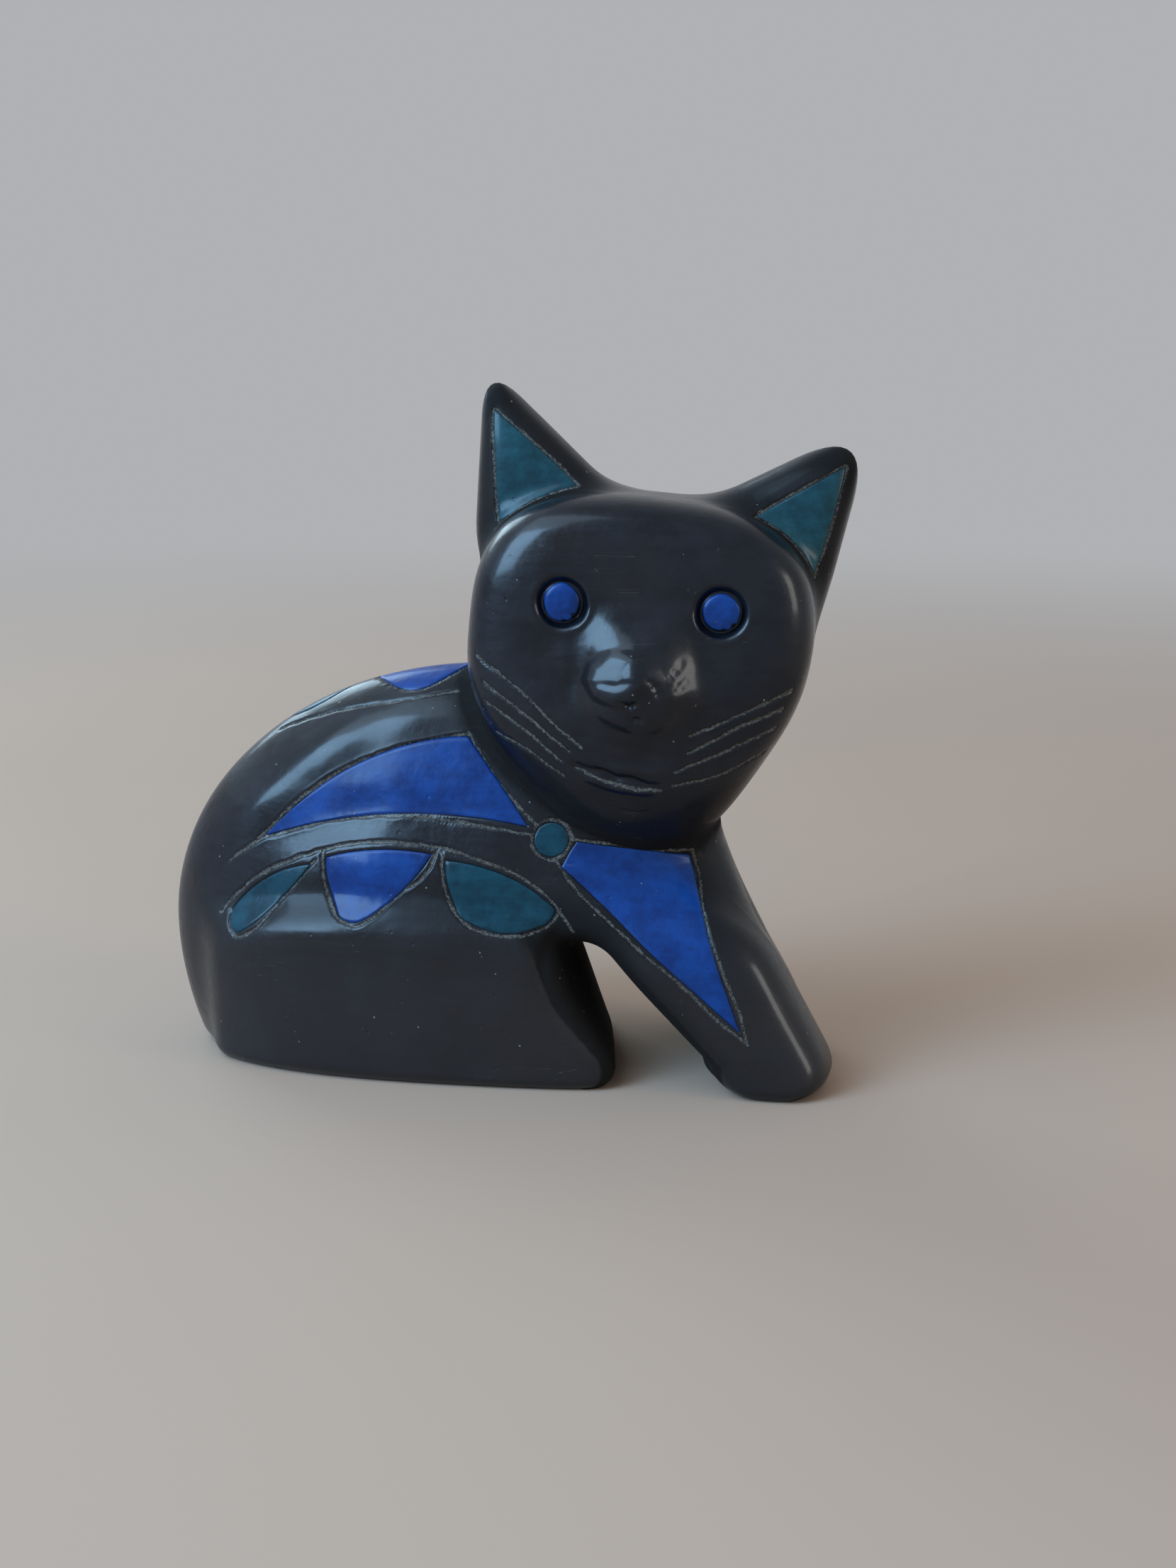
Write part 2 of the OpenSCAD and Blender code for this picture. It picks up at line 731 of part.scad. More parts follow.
module ear_piece(side) {
    color(clay)
        one_skin()
            in_head_frame()
                difference() {
                    intersection() {
                        head_mass();
                        if (side < 0) ear_right_cell();
                        else ear_left_cell();
                    }
                    pocket("ear", side < 0 ? ear_right_outline : ear_left_outline, 6, 5);
                }
}

module muzzle() {
    color(clay)
        one_skin()
            in_head_frame()
                intersection() {
                    ball_skin("muzzle", muzzle_centre, steps(10, 180, 17), steps(0, 360, 30), 40);
                    muzzle_zone();
                }
}

module blue_field(way, o, along = 6, across = 4) {
    color(cobalt)
        field(way, o, along, across);
}
module teal_field(way, o, along = 6, across = 4) {
    color(teal)
        field(way, o, along, across);
}
module ear_field(o) {
    color(teal)
        in_head_frame()
            field("ear", o, 6, 5);
}

// The fields of one side of the cat: tag is "right" or "left"
module shoulder_field(tag) {
    blue_field(str("side_", tag), shoulder_outline);
}
module leg_field(tag) {
    blue_field(str("leg_", tag), leg_outline);
}
module collar_dot(tag) {
    teal_field(str("side_", tag), dot_outline, 4, 4);
}
module rear_scallop(tag) {
    teal_field(str("side_", tag), rear_scallop_outline, 6, 3);
}
module middle_scallop(tag) {
    blue_field(str("side_", tag), middle_scallop_outline);
}
module front_scallop(tag) {
    teal_field(str("side_", tag), front_scallop_outline);
}

translate(place) {
    body_shell();
    base_slab();
    head_shell();
    ear_piece(-1);  // ear_right
    ear_piece(1);  // ear_left
    muzzle();
    pellet(-eye_x);  // eye_right
    pellet(eye_x);  // eye_left
    haunch(-1);  // haunch_right
    haunch(1);  // haunch_left
    foreleg(-1);  // foreleg_right
    foreleg(1);  // foreleg_left
    ear_field(ear_right_outline);  // ear_field_right
    ear_field(ear_left_outline);  // ear_field_left
    shoulder_field("right");  // shoulder_field_right
    shoulder_field("left");  // shoulder_field_left
    leg_field("right");  // leg_field_right
    leg_field("left");  // leg_field_left
    collar_dot("right");  // collar_dot_right
    collar_dot("left");  // collar_dot_left
    rear_scallop("right");  // rear_scallop_right
    rear_scallop("left");  // rear_scallop_left
    middle_scallop("right");  // middle_scallop_right
    middle_scallop("left");  // middle_scallop_left
    front_scallop("right");  // front_scallop_right
    front_scallop("left");  // front_scallop_left
    blue_field("top", withers_outline);  // withers_leaf
    teal_field("top", back_outline);  // back_leaf
}
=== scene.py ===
import math

import bpy
import numpy as np
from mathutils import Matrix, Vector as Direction


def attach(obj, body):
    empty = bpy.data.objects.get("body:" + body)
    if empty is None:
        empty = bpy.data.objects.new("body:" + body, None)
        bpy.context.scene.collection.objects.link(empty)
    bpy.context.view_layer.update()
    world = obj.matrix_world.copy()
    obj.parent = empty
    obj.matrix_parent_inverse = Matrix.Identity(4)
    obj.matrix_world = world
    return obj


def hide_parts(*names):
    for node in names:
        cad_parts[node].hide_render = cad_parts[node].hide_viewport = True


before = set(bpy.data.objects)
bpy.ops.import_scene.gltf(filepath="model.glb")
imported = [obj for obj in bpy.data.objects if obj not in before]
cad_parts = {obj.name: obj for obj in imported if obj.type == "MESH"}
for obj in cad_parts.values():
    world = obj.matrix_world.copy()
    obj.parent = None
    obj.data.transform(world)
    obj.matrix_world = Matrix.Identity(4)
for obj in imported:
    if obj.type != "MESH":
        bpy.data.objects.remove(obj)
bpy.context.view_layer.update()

# A burnished black clay cat. Its forms are worked out in millimetres in the cat's own
# frame: +X the way it lies, its right side towards -Y, +Z up. PLACE takes them to the
# part's frame, and MM to metres.
MM = 0.001
PLACE = np.array([-0.15, 3.6, 0.0])


# ---------- driving dimensions, in millimetres ----------
# Where the part has the same form, it has the same dimension.

# Trunk: an egg with its own reach to the rump, the chest, the back and the ground
TRUNK_MID = np.array([-3.0, 0.0, 24.0])
TRUNK_BACK, TRUNK_FRONT, TRUNK_HALF_W, TRUNK_RISE, TRUNK_DROP = 60.3, 47.6, 20.5, 49.7, 60.0
# Haunches: an oval column, the ridge on top of it and the flat rump
HAUNCH_X, HAUNCH_HALF_L, HAUNCH_HALF_W, HAUNCH_POWER = -5.0, 53.5, 23.5, 2.5
RIDGE_X, RIDGE_TOP, RIDGE_DROP, RIDGE_RUN, RIDGE_ROUND = -17.0, 31.3, 3.5, 30.0, 6.0
RUMP_X, RUMP_ROUND = -53.3, 3.0
# Forelegs: what leans, spreads and widens does so per millimetre of height
PAW_X, PAW_HALF_L, PAW_R, PAW_OFFSET = 52.0, 11.0, 8.0, 11.0
LEG_HALF_W, LEG_POWER, LEG_LEAN, LEG_CLOSE, LEG_WIDEN = 12.3, 3.2, 0.7, 0.05, 0.15
LEG_SLANT, LEG_SLOPE, LEG_TOP, LEG_TOP_ROUND = 0.3, 0.8, 36.0, 14.0
# How far the left side lies back, per millimetre of width; how far out the flank and the
# leg lie, the height at which the leg's shift ends, and where the haunch ends, unshifted
SKEW, ARCH_SKEW, LEG_SKEW = 0.14, 0.2, 0.23
FLANK_OUT, LEG_SHIFT_OUT, LEG_SHIFT_TOP, HAUNCH_END = 21, 20, 47, 10
# Arch: its toe and heel are the rounded feet of its back and its front
ARCH_H, ARCH_BACK_X, ARCH_BACK_LEAN, ARCH_FRONT_X, ARCH_APEX_X = 25.0, 22.5, 0.36, 41.0, 18.0
ARCH_HALF_W, ARCH_FLARE, ARCH_ROUND = 22.5, 2.0, 3.0
SCOOP, SCOOP_TOP_RIGHT, SCOOP_TOP_LEFT = 6.0, 18.0, 8.0
TOE_R, HEEL_X, HEEL_R = 6.5, 36.6, 4.5
HAUNCH_BLEND, LEG_BLEND, ARCH_BLEND = 5.0, 8.0, 5.0
LOWER_EDGE_R = 2.5

# Head, in its own frame: +X to the cat's left, -Y out of the face, +Z up
HEAD_AT = np.array([26.3, -6.0, 78.0])
HEAD_TURN, HEAD_TILT = math.radians(4), math.radians(6)
HEAD_RIGHT = np.array([math.cos(HEAD_TURN) * math.cos(HEAD_TILT),
                       math.sin(HEAD_TURN) * math.cos(HEAD_TILT), -math.sin(HEAD_TILT)])
HEAD_BACK = np.array([-math.sin(HEAD_TURN), math.cos(HEAD_TURN), 0.0])
HEAD_AXES = np.stack([HEAD_RIGHT, HEAD_BACK, np.cross(HEAD_RIGHT, HEAD_BACK)])
SKULL_MID, SKULL_R, SKULL_POWER, FACE_FLAT = [0, 3, 3], [30.2, 20.5, 24.5], 2.8, 5.5
JAW_MID, JAW_R, JAW_POWER, JAW_FLAT = [1.3, 2, -12], [25.3, 20, 24.4], 2.0, 2.2
SKULL_BLEND, EAR_BLEND, NOSE_BLEND, TIP_BLEND = 8.0, 4.0, 3.0, 2.0
JOWL_AT, JOWL_SIDE, JOWL_DROP, JOWL_ROUND = (22.7, -22.0), 0.9, 0.45, 6.0
MUZZLE_MID, MUZZLE_R = [1.5, -15, -5], [10.5, 9, 10]
TIP_MID, TIP_R = [-0.4, -18.6, -2.2], [5.4, 5.6, 4.6]
BRIDGE_AT, BRIDGE_HALF_W, BRIDGE_ROUND = (0.5, -22.3, 1.9), 1.4, 0.8
BRIDGE_SIDE, BRIDGE_ROOF = (0.371, -0.877, 0.306), (0.0, -0.83, 0.5561)
BRIDGE_ROOM_MID, BRIDGE_ROOM_R, BRIDGE_ROOM_ROUND = [0.5, -16, 3.5], [9, 8, 7.5], 3.0
EAR_RIGHT, EAR_RIGHT_ROUND = [(-31.8, 11.3), (0, 21), (-33.3, 47)], 7.0
EAR_LEFT, EAR_LEFT_ROUND = [(30.7, 4), (36.4, 44.3), (2, 22.9)], 12.0
EAR_MID, EAR_THICK, EAR_EDGE_ROUND = 5.0, 14.0, 8.0
EYES = [(-13.5, 8.9), (13.7, 10.3)]
NOSE, NOSE_HALF_W, NOSE_HALF_H, NOSE_OUT = (-1.2, -2.4), 7.2, 5.4, 0.55
# Eyes: the pellet, and the dish, crack and rim of its socket
EYE_R, EYE_TALL, EYE_RISE, EYE_SUNK, EYE_FOOT = 3.1, 1.04, 0.85, 0.75, 0.9
EYE_NICKS, EYE_NICK_WIDTH = [(3.85, 0.16), (4.45, 0.09)], 0.12
SOCKET_R, SOCKET_DEEP, SOCKET_RIM, SOCKET_RIM_AT = 4.35, 1.0, 0.1, 0.9
CRACK, CRACK_LOWER, CRACK_WIDTH = 0.25, 0.35, 0.5

# Working of the clay: unevenness, crease filling, facets, pockets, fields and cut lines
BODY_WOBBLE, BODY_WOBBLE_SIZE, HEAD_WOBBLE, HEAD_WOBBLE_SIZE = 0.12, 11.0, 0.07, 9.0
FILLET, FACET_FADE = 4.0, (-1.6, 2.0)
POCKET, POCKET_WALL = 0.75, (0.1, 0.5)
FIELD_SINK, RIM_SINK, RIM_WIDTH, FIELD_THICK = 0.06, 0.45, 0.35, 1.0
CUT_DEPTH, CUT_IN, CUT_OUT = 0.28, 0.08, 0.42
BURR, BURR_AT, BURR_WIDTH = 0.04, 0.5, 0.15
DOT_MID, DOT_R = (12, 45.1), 3.5
# Where the relief fades on the table, the drawn-in edge in the arch, and the arch's dulness and
# painted shade
TABLE_FADE, EDGE_FADE, ARCH_FADE, BACK_LOW = (0.2, 3), (0.5, 3), (0.8, 3.2), 45
# Room in which a crease is looked for, and the lower side of the head: both are dulled and
# darkened with painted shade
CREASE_REACH = (1.5, 4.0, 8.0, 14.0)
UNDER_TILT, UNDER_HEIGHT, UNDER_SHARE = (0.0, 0.9), (-24, -2), 0.32
# Recess for the slab: the ends of its spine, its radius, thickness and play
SLAB_X, SLAB_R, SLAB_THICK, SLAB_GAP = (-33.0, 2.0), 9.5, 4.0, 0.05

# Meshes: cells along and round, how finely a cell near a line or a spot is split, and
# the distances at which a line counts as far, or isn't looked for
BODY_ROWS, BODY_AROUND, BODY_REACH = 210, 220, 80
HEAD_ROWS, HEAD_AROUND, HEAD_REACH = 176, 200, 90
SPLIT, NEAR_LINE, FAR, NO_LINE = 3, 1.2, 3.0, 9.0
FACE_SPOTS = [([-1, -23, -3], 8.5), ([-0.5, -17, -20], 9)]
PIVOT, PIVOT_STEP, PIVOT_REACH = np.array([31.0, 0.0, 0.0]), 0.5, 112
SLICE_EASE, SLICE_SPREAD = 0.72, 0.55
HEAD_CENTRE = np.array([0.0, 5.0, 0.0])


# ---------- forms: each is negative inside the clay ----------

def soft_join(a, b, k):
    """The smaller of two forms, rounded where they are within k of each other."""
    return np.minimum(a, b) - np.maximum(k - np.abs(a - b), 0) ** 2 / (4 * k)


def soft_cut(a, b, k):
    """The larger of two forms, rounded in the same way."""
    return -soft_join(-a, -b, k)


def egg(p, centre, radii):
    """Ellipsoid: scaled distance from its centre, brought back to millimetres."""
    radii = np.asarray(radii, float)
    u = (p - centre) / radii
    k = np.linalg.norm(u, axis=-1)
    return k * (k - 1) / (np.linalg.norm(u / radii, axis=-1) + 1e-6)


def disc(p, centre, radii, n, flat):
    """Thick disc that faces along Y: n-th powers in its outline, and across it the powers
    that flatten its front."""
    radii = np.asarray(radii, float)
    u = np.abs(p - centre) / radii
    m = np.where(p[..., 1] < centre[1], flat, n)
    w = (u[..., 0] ** n + u[..., 2] ** n) ** (1 / n) + 1e-6
    k = (w ** m + u[..., 1] ** m) ** (1 / m) + 1e-6
    across = (w / k) ** (m - 1)
    slope = np.stack([across * (u[..., 0] / w) ** (n - 1), (u[..., 1] / k) ** (m - 1),
                      across * (u[..., 2] / w) ** (n - 1)], -1) / radii
    return (k - 1) / (np.linalg.norm(slope, axis=-1) + 1e-6)


def column(x, y, a, b, n):
    """Upright column whose plan is an oval with fuller corners as n grows past 2."""
    u, v = np.abs(x) / a, np.abs(y) / b
    k = (u ** n + v ** n) ** (1 / n) + 1e-6
    return (k - 1) / (np.hypot((u / k) ** (n - 1) / a, (v / k) ** (n - 1) / b) + 1e-6)


def ramp(x, low, high):
    """Smooth step from 0 at low to 1 at high."""
    t = np.clip((x - low) / (high - low), 0, 1)
    return t * t * (3 - 2 * t)


def drawn_in(z, r):
    """How far an upright wall draws in at height z, to stand on a rounded edge."""
    h = np.clip(z, 0, r)
    return r - np.sqrt(h * (2 * r - h))


def edge(x, z, a, b):
    """Distance from the line a-b, positive on its right."""
    return (((x - a[0]) * (b[1] - a[1]) - (z - a[1]) * (b[0] - a[0]))
            / math.hypot(b[0] - a[0], b[1] - a[1]))


def trunk(p):
    """Egg that is longer towards the rump and deeper towards the ground."""
    long = np.where(p[..., 0] < TRUNK_MID[0], TRUNK_BACK, TRUNK_FRONT)
    high = np.where(p[..., 2] < TRUNK_MID[2], TRUNK_DROP, TRUNK_RISE)
    return egg(p, TRUNK_MID, np.stack([long, np.full_like(long, TRUNK_HALF_W), high], -1))


def haunches(p):
    """Rounded oval column under a ridge that drops towards its two ends."""
    x, y, z = p[..., 0], p[..., 1], p[..., 2]
    oval = column(x - HAUNCH_X, y, HAUNCH_HALF_L, HAUNCH_HALF_W, HAUNCH_POWER)
    ridge = z - RIDGE_TOP + RIDGE_DROP * ((x - RIDGE_X) / RIDGE_RUN) ** 2
    return soft_cut(soft_cut(oval, ridge, RIDGE_ROUND), RUMP_X - x, RUMP_ROUND)


def forelegs(p):
    """Two leaning columns side by side, whose fronts slant back outwards."""
    z = p[..., 2]
    y = np.abs(p[..., 1]) - PAW_OFFSET + LEG_CLOSE * z
    x = p[..., 0] + LEG_SKEW * p[..., 1] - PAW_X + LEG_LEAN * z + LEG_SLANT * np.maximum(0, y)
    half_l = PAW_HALF_L + LEG_WIDEN * z - np.where(x > 0, drawn_in(z, PAW_R), 0)
    leg = LEG_SLOPE * column(x, y, half_l, LEG_HALF_W, LEG_POWER)
    return soft_cut(leg, z - LEG_TOP, LEG_TOP_ROUND)


def arch(p):
    """The opening under the chest: behind its leaning front and before its scooped back."""
    x, y, z = p[..., 0] + ARCH_SKEW * p[..., 1], p[..., 1], p[..., 2]
    side = (y / ARCH_HALF_W) ** 2
    scoop = SCOOP * side * ramp(z, 0, np.where(y < 0, SCOOP_TOP_RIGHT, SCOOP_TOP_LEFT))
    back = ARCH_BACK_X - ARCH_BACK_LEAN * z - scoop - drawn_in(z, TOE_R) - x
    lean = edge(x, z, (ARCH_FRONT_X, 0), (ARCH_APEX_X, ARCH_H))
    front = np.maximum(lean, x - HEEL_X - drawn_in(z, HEEL_R))
    roof = z - ARCH_H - ARCH_FLARE * side
    return soft_cut(soft_cut(back, front, ARCH_ROUND), roof, ARCH_ROUND)


def body_form(p):
    """Trunk, haunches and forelegs run together, less the arch."""
    whole = soft_join(soft_join(trunk(p), haunches(p), HAUNCH_BLEND), forelegs(p), LEG_BLEND)
    return soft_cut(whole, -arch(p), ARCH_BLEND)


def ear(q, corners, soft):
    """Rounded slab with three corners."""
    a, b, c = corners
    x, z = q[..., 0], q[..., 2]
    plan = soft_cut(soft_cut(edge(x, z, a, b), edge(x, z, b, c), soft), edge(x, z, c, a), soft)
    return soft_cut(plan, np.abs(q[..., 1] - EAR_MID) - EAR_THICK / 2, EAR_EDGE_ROUND)


def bridge(q):
    """Nose bridge: a plane roof that narrows towards the nose, between two plane sides,
    and cut to an egg so that it ends on the face."""
    u = q - BRIDGE_AT
    u = np.stack([np.abs(u[..., 0]), u[..., 1], u[..., 2]], -1)
    side = (u - [BRIDGE_HALF_W, 0, 0]) @ BRIDGE_SIDE
    wedge = soft_cut(side, u @ BRIDGE_ROOF, BRIDGE_ROUND)
    return soft_cut(wedge, egg(q, BRIDGE_ROOM_MID, BRIDGE_ROOM_R), BRIDGE_ROOM_ROUND)


def head_form(q):
    """Skull and jaw with a slanting left jowl, ears, muzzle, nose bridge and nose tip."""
    skull = soft_join(disc(q, SKULL_MID, SKULL_R, SKULL_POWER, FACE_FLAT),
                      disc(q, JAW_MID, JAW_R, JAW_POWER, JAW_FLAT), SKULL_BLEND)
    jowl = JOWL_SIDE * (q[..., 0] - JOWL_AT[0]) - JOWL_DROP * (q[..., 2] - JOWL_AT[1])
    whole = soft_cut(skull, jowl, JOWL_ROUND)
    for part, blend in ((ear(q, EAR_RIGHT, EAR_RIGHT_ROUND), EAR_BLEND),
                        (ear(q, EAR_LEFT, EAR_LEFT_ROUND), EAR_BLEND),
                        (egg(q, MUZZLE_MID, MUZZLE_R), NOSE_BLEND),
                        (bridge(q), NOSE_BLEND), (egg(q, TIP_MID, TIP_R), TIP_BLEND)):
        whole = soft_join(whole, part, blend)
    return whole


def to_head(p):
    """From the cat's frame to the head's."""
    return (p - HEAD_AT) @ HEAD_AXES.T


def from_head(q):
    """From the head's frame to the cat's."""
    return HEAD_AT + q @ HEAD_AXES


def cat_form(p):
    """Head and body together, in the cat's frame."""
    return np.minimum(body_form(p), head_form(to_head(p)))


HALVINGS = 18


def reach(form, start, ray, away):
    """Distance from start along ray at which the form ends, found by halving."""
    near, far = np.zeros(start.shape[:-1]), np.zeros(start.shape[:-1]) + away
    for _ in range(HALVINGS):
        middle = (near + far) / 2
        inside = form(start + ray * middle[..., None]) < 0
        near, far = np.where(inside, middle, near), np.where(inside, far, middle)
    return (near + far) / 2


def project(form, start, ray, away=60):
    """Points on the skin, straight out from start along ray."""
    return start + ray * reach(form, start, ray, away)[..., None]


def unit(v):
    """Vectors brought to length 1."""
    return v / (np.linalg.norm(v, axis=-1, keepdims=True) + 1e-9)


def outward(form, p, h=0.06):
    """Unit normals: the form's slope along each axis."""
    return unit(np.stack([form(p + s) - form(p - s) for s in np.eye(3) * h], -1))


# ---------- drawn lines and outlines ----------

def smooth_line(points, step=0.8):
    """Smooth curve through points: each span is a cubic whose end slopes follow its
    neighbours, sampled about every step."""
    p = np.array(points, float)
    p = np.vstack([2 * p[0] - p[1], p, 2 * p[-1] - p[-2]])
    out = []
    for a, b, c, d in zip(p, p[1:], p[2:], p[3:]):
        t = np.linspace(0, 1, max(2, int(np.linalg.norm(c - b) / step)), endpoint=False)[:, None]
        out.append(0.5 * (2 * b + (c - a) * t + (2 * a - 5 * b + 4 * c - d) * t ** 2
                          + (3 * b - a - 3 * c + d) * t ** 3))
    return np.vstack(out + [p[-2:-1]])


def ring(x, z, rx, rz, count=48):
    """Closed oval line."""
    t = np.linspace(0, 2 * math.pi, count)
    return np.stack([x + rx * np.cos(t), z + rz * np.sin(t)], -1)


def laid(form, line, start, ray):
    """A flat line laid on a form: start(a, b) places its two coordinates inside, and each
    point goes out from there along ray to the skin."""
    a, b = np.asarray(line, float).T
    return project(form, np.stack(np.broadcast_arrays(*start(a, b)), -1), np.array(ray, float))


def on_side(line, side):
    """A side-view line laid on the body, out along Y from near its middle."""
    return laid(body_form, line, lambda x, z: (x, 2.0 * side, z), (0, side, 0))


def leg_shift(z, side):
    """How far the left leg lies back at height z: most at the ground, nothing at its top."""
    return (side + 1) * LEG_SKEW * LEG_SHIFT_OUT * (1 - z / LEG_SHIFT_TOP)


def on_leg(line, side):
    """As on_side(), for the legs: the left one lies back by the skew."""
    line = np.array(line, float)
    line[:, 0] -= leg_shift(line[:, 1], side)
    return on_side(line, side)


def on_top(line):
    """A line seen from above, X and Y, laid on the back, up from under the spine."""
    return laid(body_form, line, lambda x, y: (x, y, 40.0), (0, 0, 1))


def on_face(line):
    """A front-view line laid on the head, in the head's frame."""
    return laid(head_form, line, lambda x, z: (x, EAR_MID, z), (0, -1, 0))


# Colour fields: four corners and the middle of each side, as the part has them
SHOULDER = [(-41.8, 42.8), (-17, 48.6), (8.4, 47), (3, 54.4), (-3.8, 62.8), (-23.5, 57.6),
            (-42, 43.4), (-41.9, 43.1)]
LEG = [(13.6, 40.4), (30.6, 26), (47.1, 11.6), (41, 28.2), (36, 41.8), (25.6, 43.5),
       (16.4, 45), (14.9, 42.7)]
DOT = [(9.7, 42.8), (12, 41.9), (14.3, 42.8), (15.2, 45.1), (14.3, 47.4), (12, 48.3),
       (9.7, 47.4), (8.8, 45.1)]
REAR_SCALLOP = [(-46.5, 25), (-39.5, 30.4), (-32.2, 38.4), (-32.1, 38.7), (-32.5, 39),
                (-41, 35.9), (-48.4, 29.5), (-48.7, 26.4)]
MIDDLE_SCALLOP = [(-26.3, 30.3), (-23.4, 29.4), (-20.5, 30.5), (-13.8, 35.8), (-8.9, 42.2),
                  (-19.5, 42.6), (-29.7, 40.4), (-28.8, 35.3)]
FRONT_SCALLOP = [(-4, 31.3), (3.8, 28.8), (11.4, 30), (12.7, 31.4), (13.3, 33), (4, 39),
                 (-7.3, 41.4), (-6.2, 35.6)]
WITHERS = [(-22.8, -1.5), (-14.5, -7.3), (-5.5, -1.5), (-4.6, 0), (-5.5, 1.5),
           (-14.5, 7.3), (-22.8, 1.5), (-23.4, 0)]
BACK_LEAF = [(-40.8, -0.4), (-34.5, -3.4), (-28.2, -0.4), (-28, 0), (-28.2, 0.4),
             (-34.5, 3.4), (-40.8, 0.4), (-41, 0)]
EAR_FIELD_RIGHT = [(-27.4, 19.4), (-20.8, 24.6), (-13.6, 27.6), (-21.4, 33.4),
                   (-30.1, 39.2), (-30.3, 39.2), (-30.5, 39), (-29.2, 29.4)]
EAR_FIELD_LEFT = [(17.2, 25.8), (24.3, 22.2), (29, 16.3), (31, 26), (32.3, 35.7),
                  (32.1, 35.9), (31.9, 36), (24.6, 31)]


def bow(a, m, b, s):
    """Curve from a to b that passes through m halfway."""
    a, m, b = (np.asarray(v, float) for v in (a, m, b))
    s = np.asarray(s)[..., None]
    return (1 - s) ** 2 * a + 2 * s * (1 - s) * (2 * m - (a + b) / 2) + s ** 2 * b


def patch(o, s, t):
    """Four-sided patch: the two blends of opposite sides, less the blend of the corners."""
    o = np.array(o, float)
    s1, t1 = s[..., None], t[..., None]
    return ((1 - t1) * bow(o[0], o[1], o[2], s) + t1 * bow(o[6], o[5], o[4], s)
            + (1 - s1) * bow(o[0], o[7], o[6], t) + s1 * bow(o[2], o[3], o[4], t)
            - (1 - s1) * (1 - t1) * o[0] - s1 * (1 - t1) * o[2]
            - s1 * t1 * o[4] - (1 - s1) * t1 * o[6])


def outline(o, count=14):
    """The patch's closed outline, counter-clockwise."""
    s = np.linspace(0, 1, count, endpoint=False)
    return np.vstack([bow(o[0], o[1], o[2], s), bow(o[2], o[3], o[4], s),
                      bow(o[4], o[5], o[6], s), bow(o[6], o[7], o[0], s),
                      [o[0]]])


# Lines drawn on one flank, seen from the side: X and Z
FLANK_LINES = {
    "shoulder_bottom": [(-49.3, 37.6), (-46, 40), (-42, 42.6), (-36.4, 44.5), (-29, 46.8),
                        (-19.9, 48.2), (-10.9, 48.5), (-2.2, 47.6), (8.3, 46)],
    "shoulder_top": [(-46, 40), (-42, 43.4), (-35.5, 49.8), (-26.4, 56), (-17.5, 59.8),
                     (-8.8, 62), (-3.7, 63)],
    "shoulder_front": [(-3.7, 63.2), (-0.5, 58.5), (3.7, 53.2), (9.6, 47.4)],
    "haunch_arc": [(-50.8, 28), (-48, 31.4), (-41.4, 36.7), (-29.9, 41.6), (-19.7, 43.7),
                   (-9, 43.4), (-2.1, 41.8), (6.5, 38.7), (12.4, 34.3), (16.5, 29)],
    "rear_scallop": [(-31.6, 39.4), (-37.5, 32.3), (-42.9, 26.6), (-46.5, 24.6),
                     (-48.4, 26.2), (-48.8, 29)],
    "middle_scallop": [(-30, 41), (-29.4, 35.7), (-27.2, 30.9), (-23.5, 29.1),
                       (-20.1, 30.4), (-15.6, 34.3), (-10.5, 38.2), (-8.2, 43)],
    "front_scallop": [(-7.6, 42.4), (-6.6, 35.5), (-3.9, 31.2), (0.9, 28.9), (7.7, 28.5),
                      (12, 30.1), (14, 33)],
}
LEG_LINES = {
    "leg_top": [(15.8, 45.2), (23.3, 44.1), (29.2, 42.9), (36.3, 42.2)],
    "leg_front": [(36.1, 42.4), (37.8, 38.2), (39.4, 32.3), (43, 23.9), (46.3, 15.9),
                  (47.6, 11)],
    "leg_back": [(12.9, 41.6), (16.3, 36.9), (22, 31.9), (29, 26.5), (36.4, 20.6),
                 (42.2, 14.9), (47.8, 10.8)],
}
SPINE_LINE = [(-6.3, -8), (-15.6, -8.6), (-24.7, -7.7), (-34.2, -6), (-41.5, -4)]
FACE_LINES = {
    "whisker_1": [(-27.6, -2.3), (-19.7, -6.6), (-11.9, -12.4), (-7.5, -15.3)],
    "whisker_2": [(-25.9, -6.7), (-18.7, -10.6), (-9.4, -16.4)],
    "whisker_3": [(-25.4, -10), (-18.2, -13.5), (-10.8, -18.4)],
    "whisker_4": [(-23, -15.5), (-17.1, -17.3), (-10.2, -21.2)],
    "whisker_5": [(27.3, -1.8), (20.5, -5.8), (10.9, -11.1)],
    "whisker_6": [(26.1, -5.2), (19, -8.9), (10.9, -14.1)],
    "whisker_7": [(25.3, -8.7), (17.5, -13.1), (9, -17.8)],
    "lip": [(-8.2, -19.4), (-5.6, -20), (-3.4, -20.8), (0.4, -21.3), (3.6, -21.7), (6.9, -21.5)],
    "whisker_8": [(23.9, -13.3), (16.5, -17.9), (8.6, -20.5)],
}

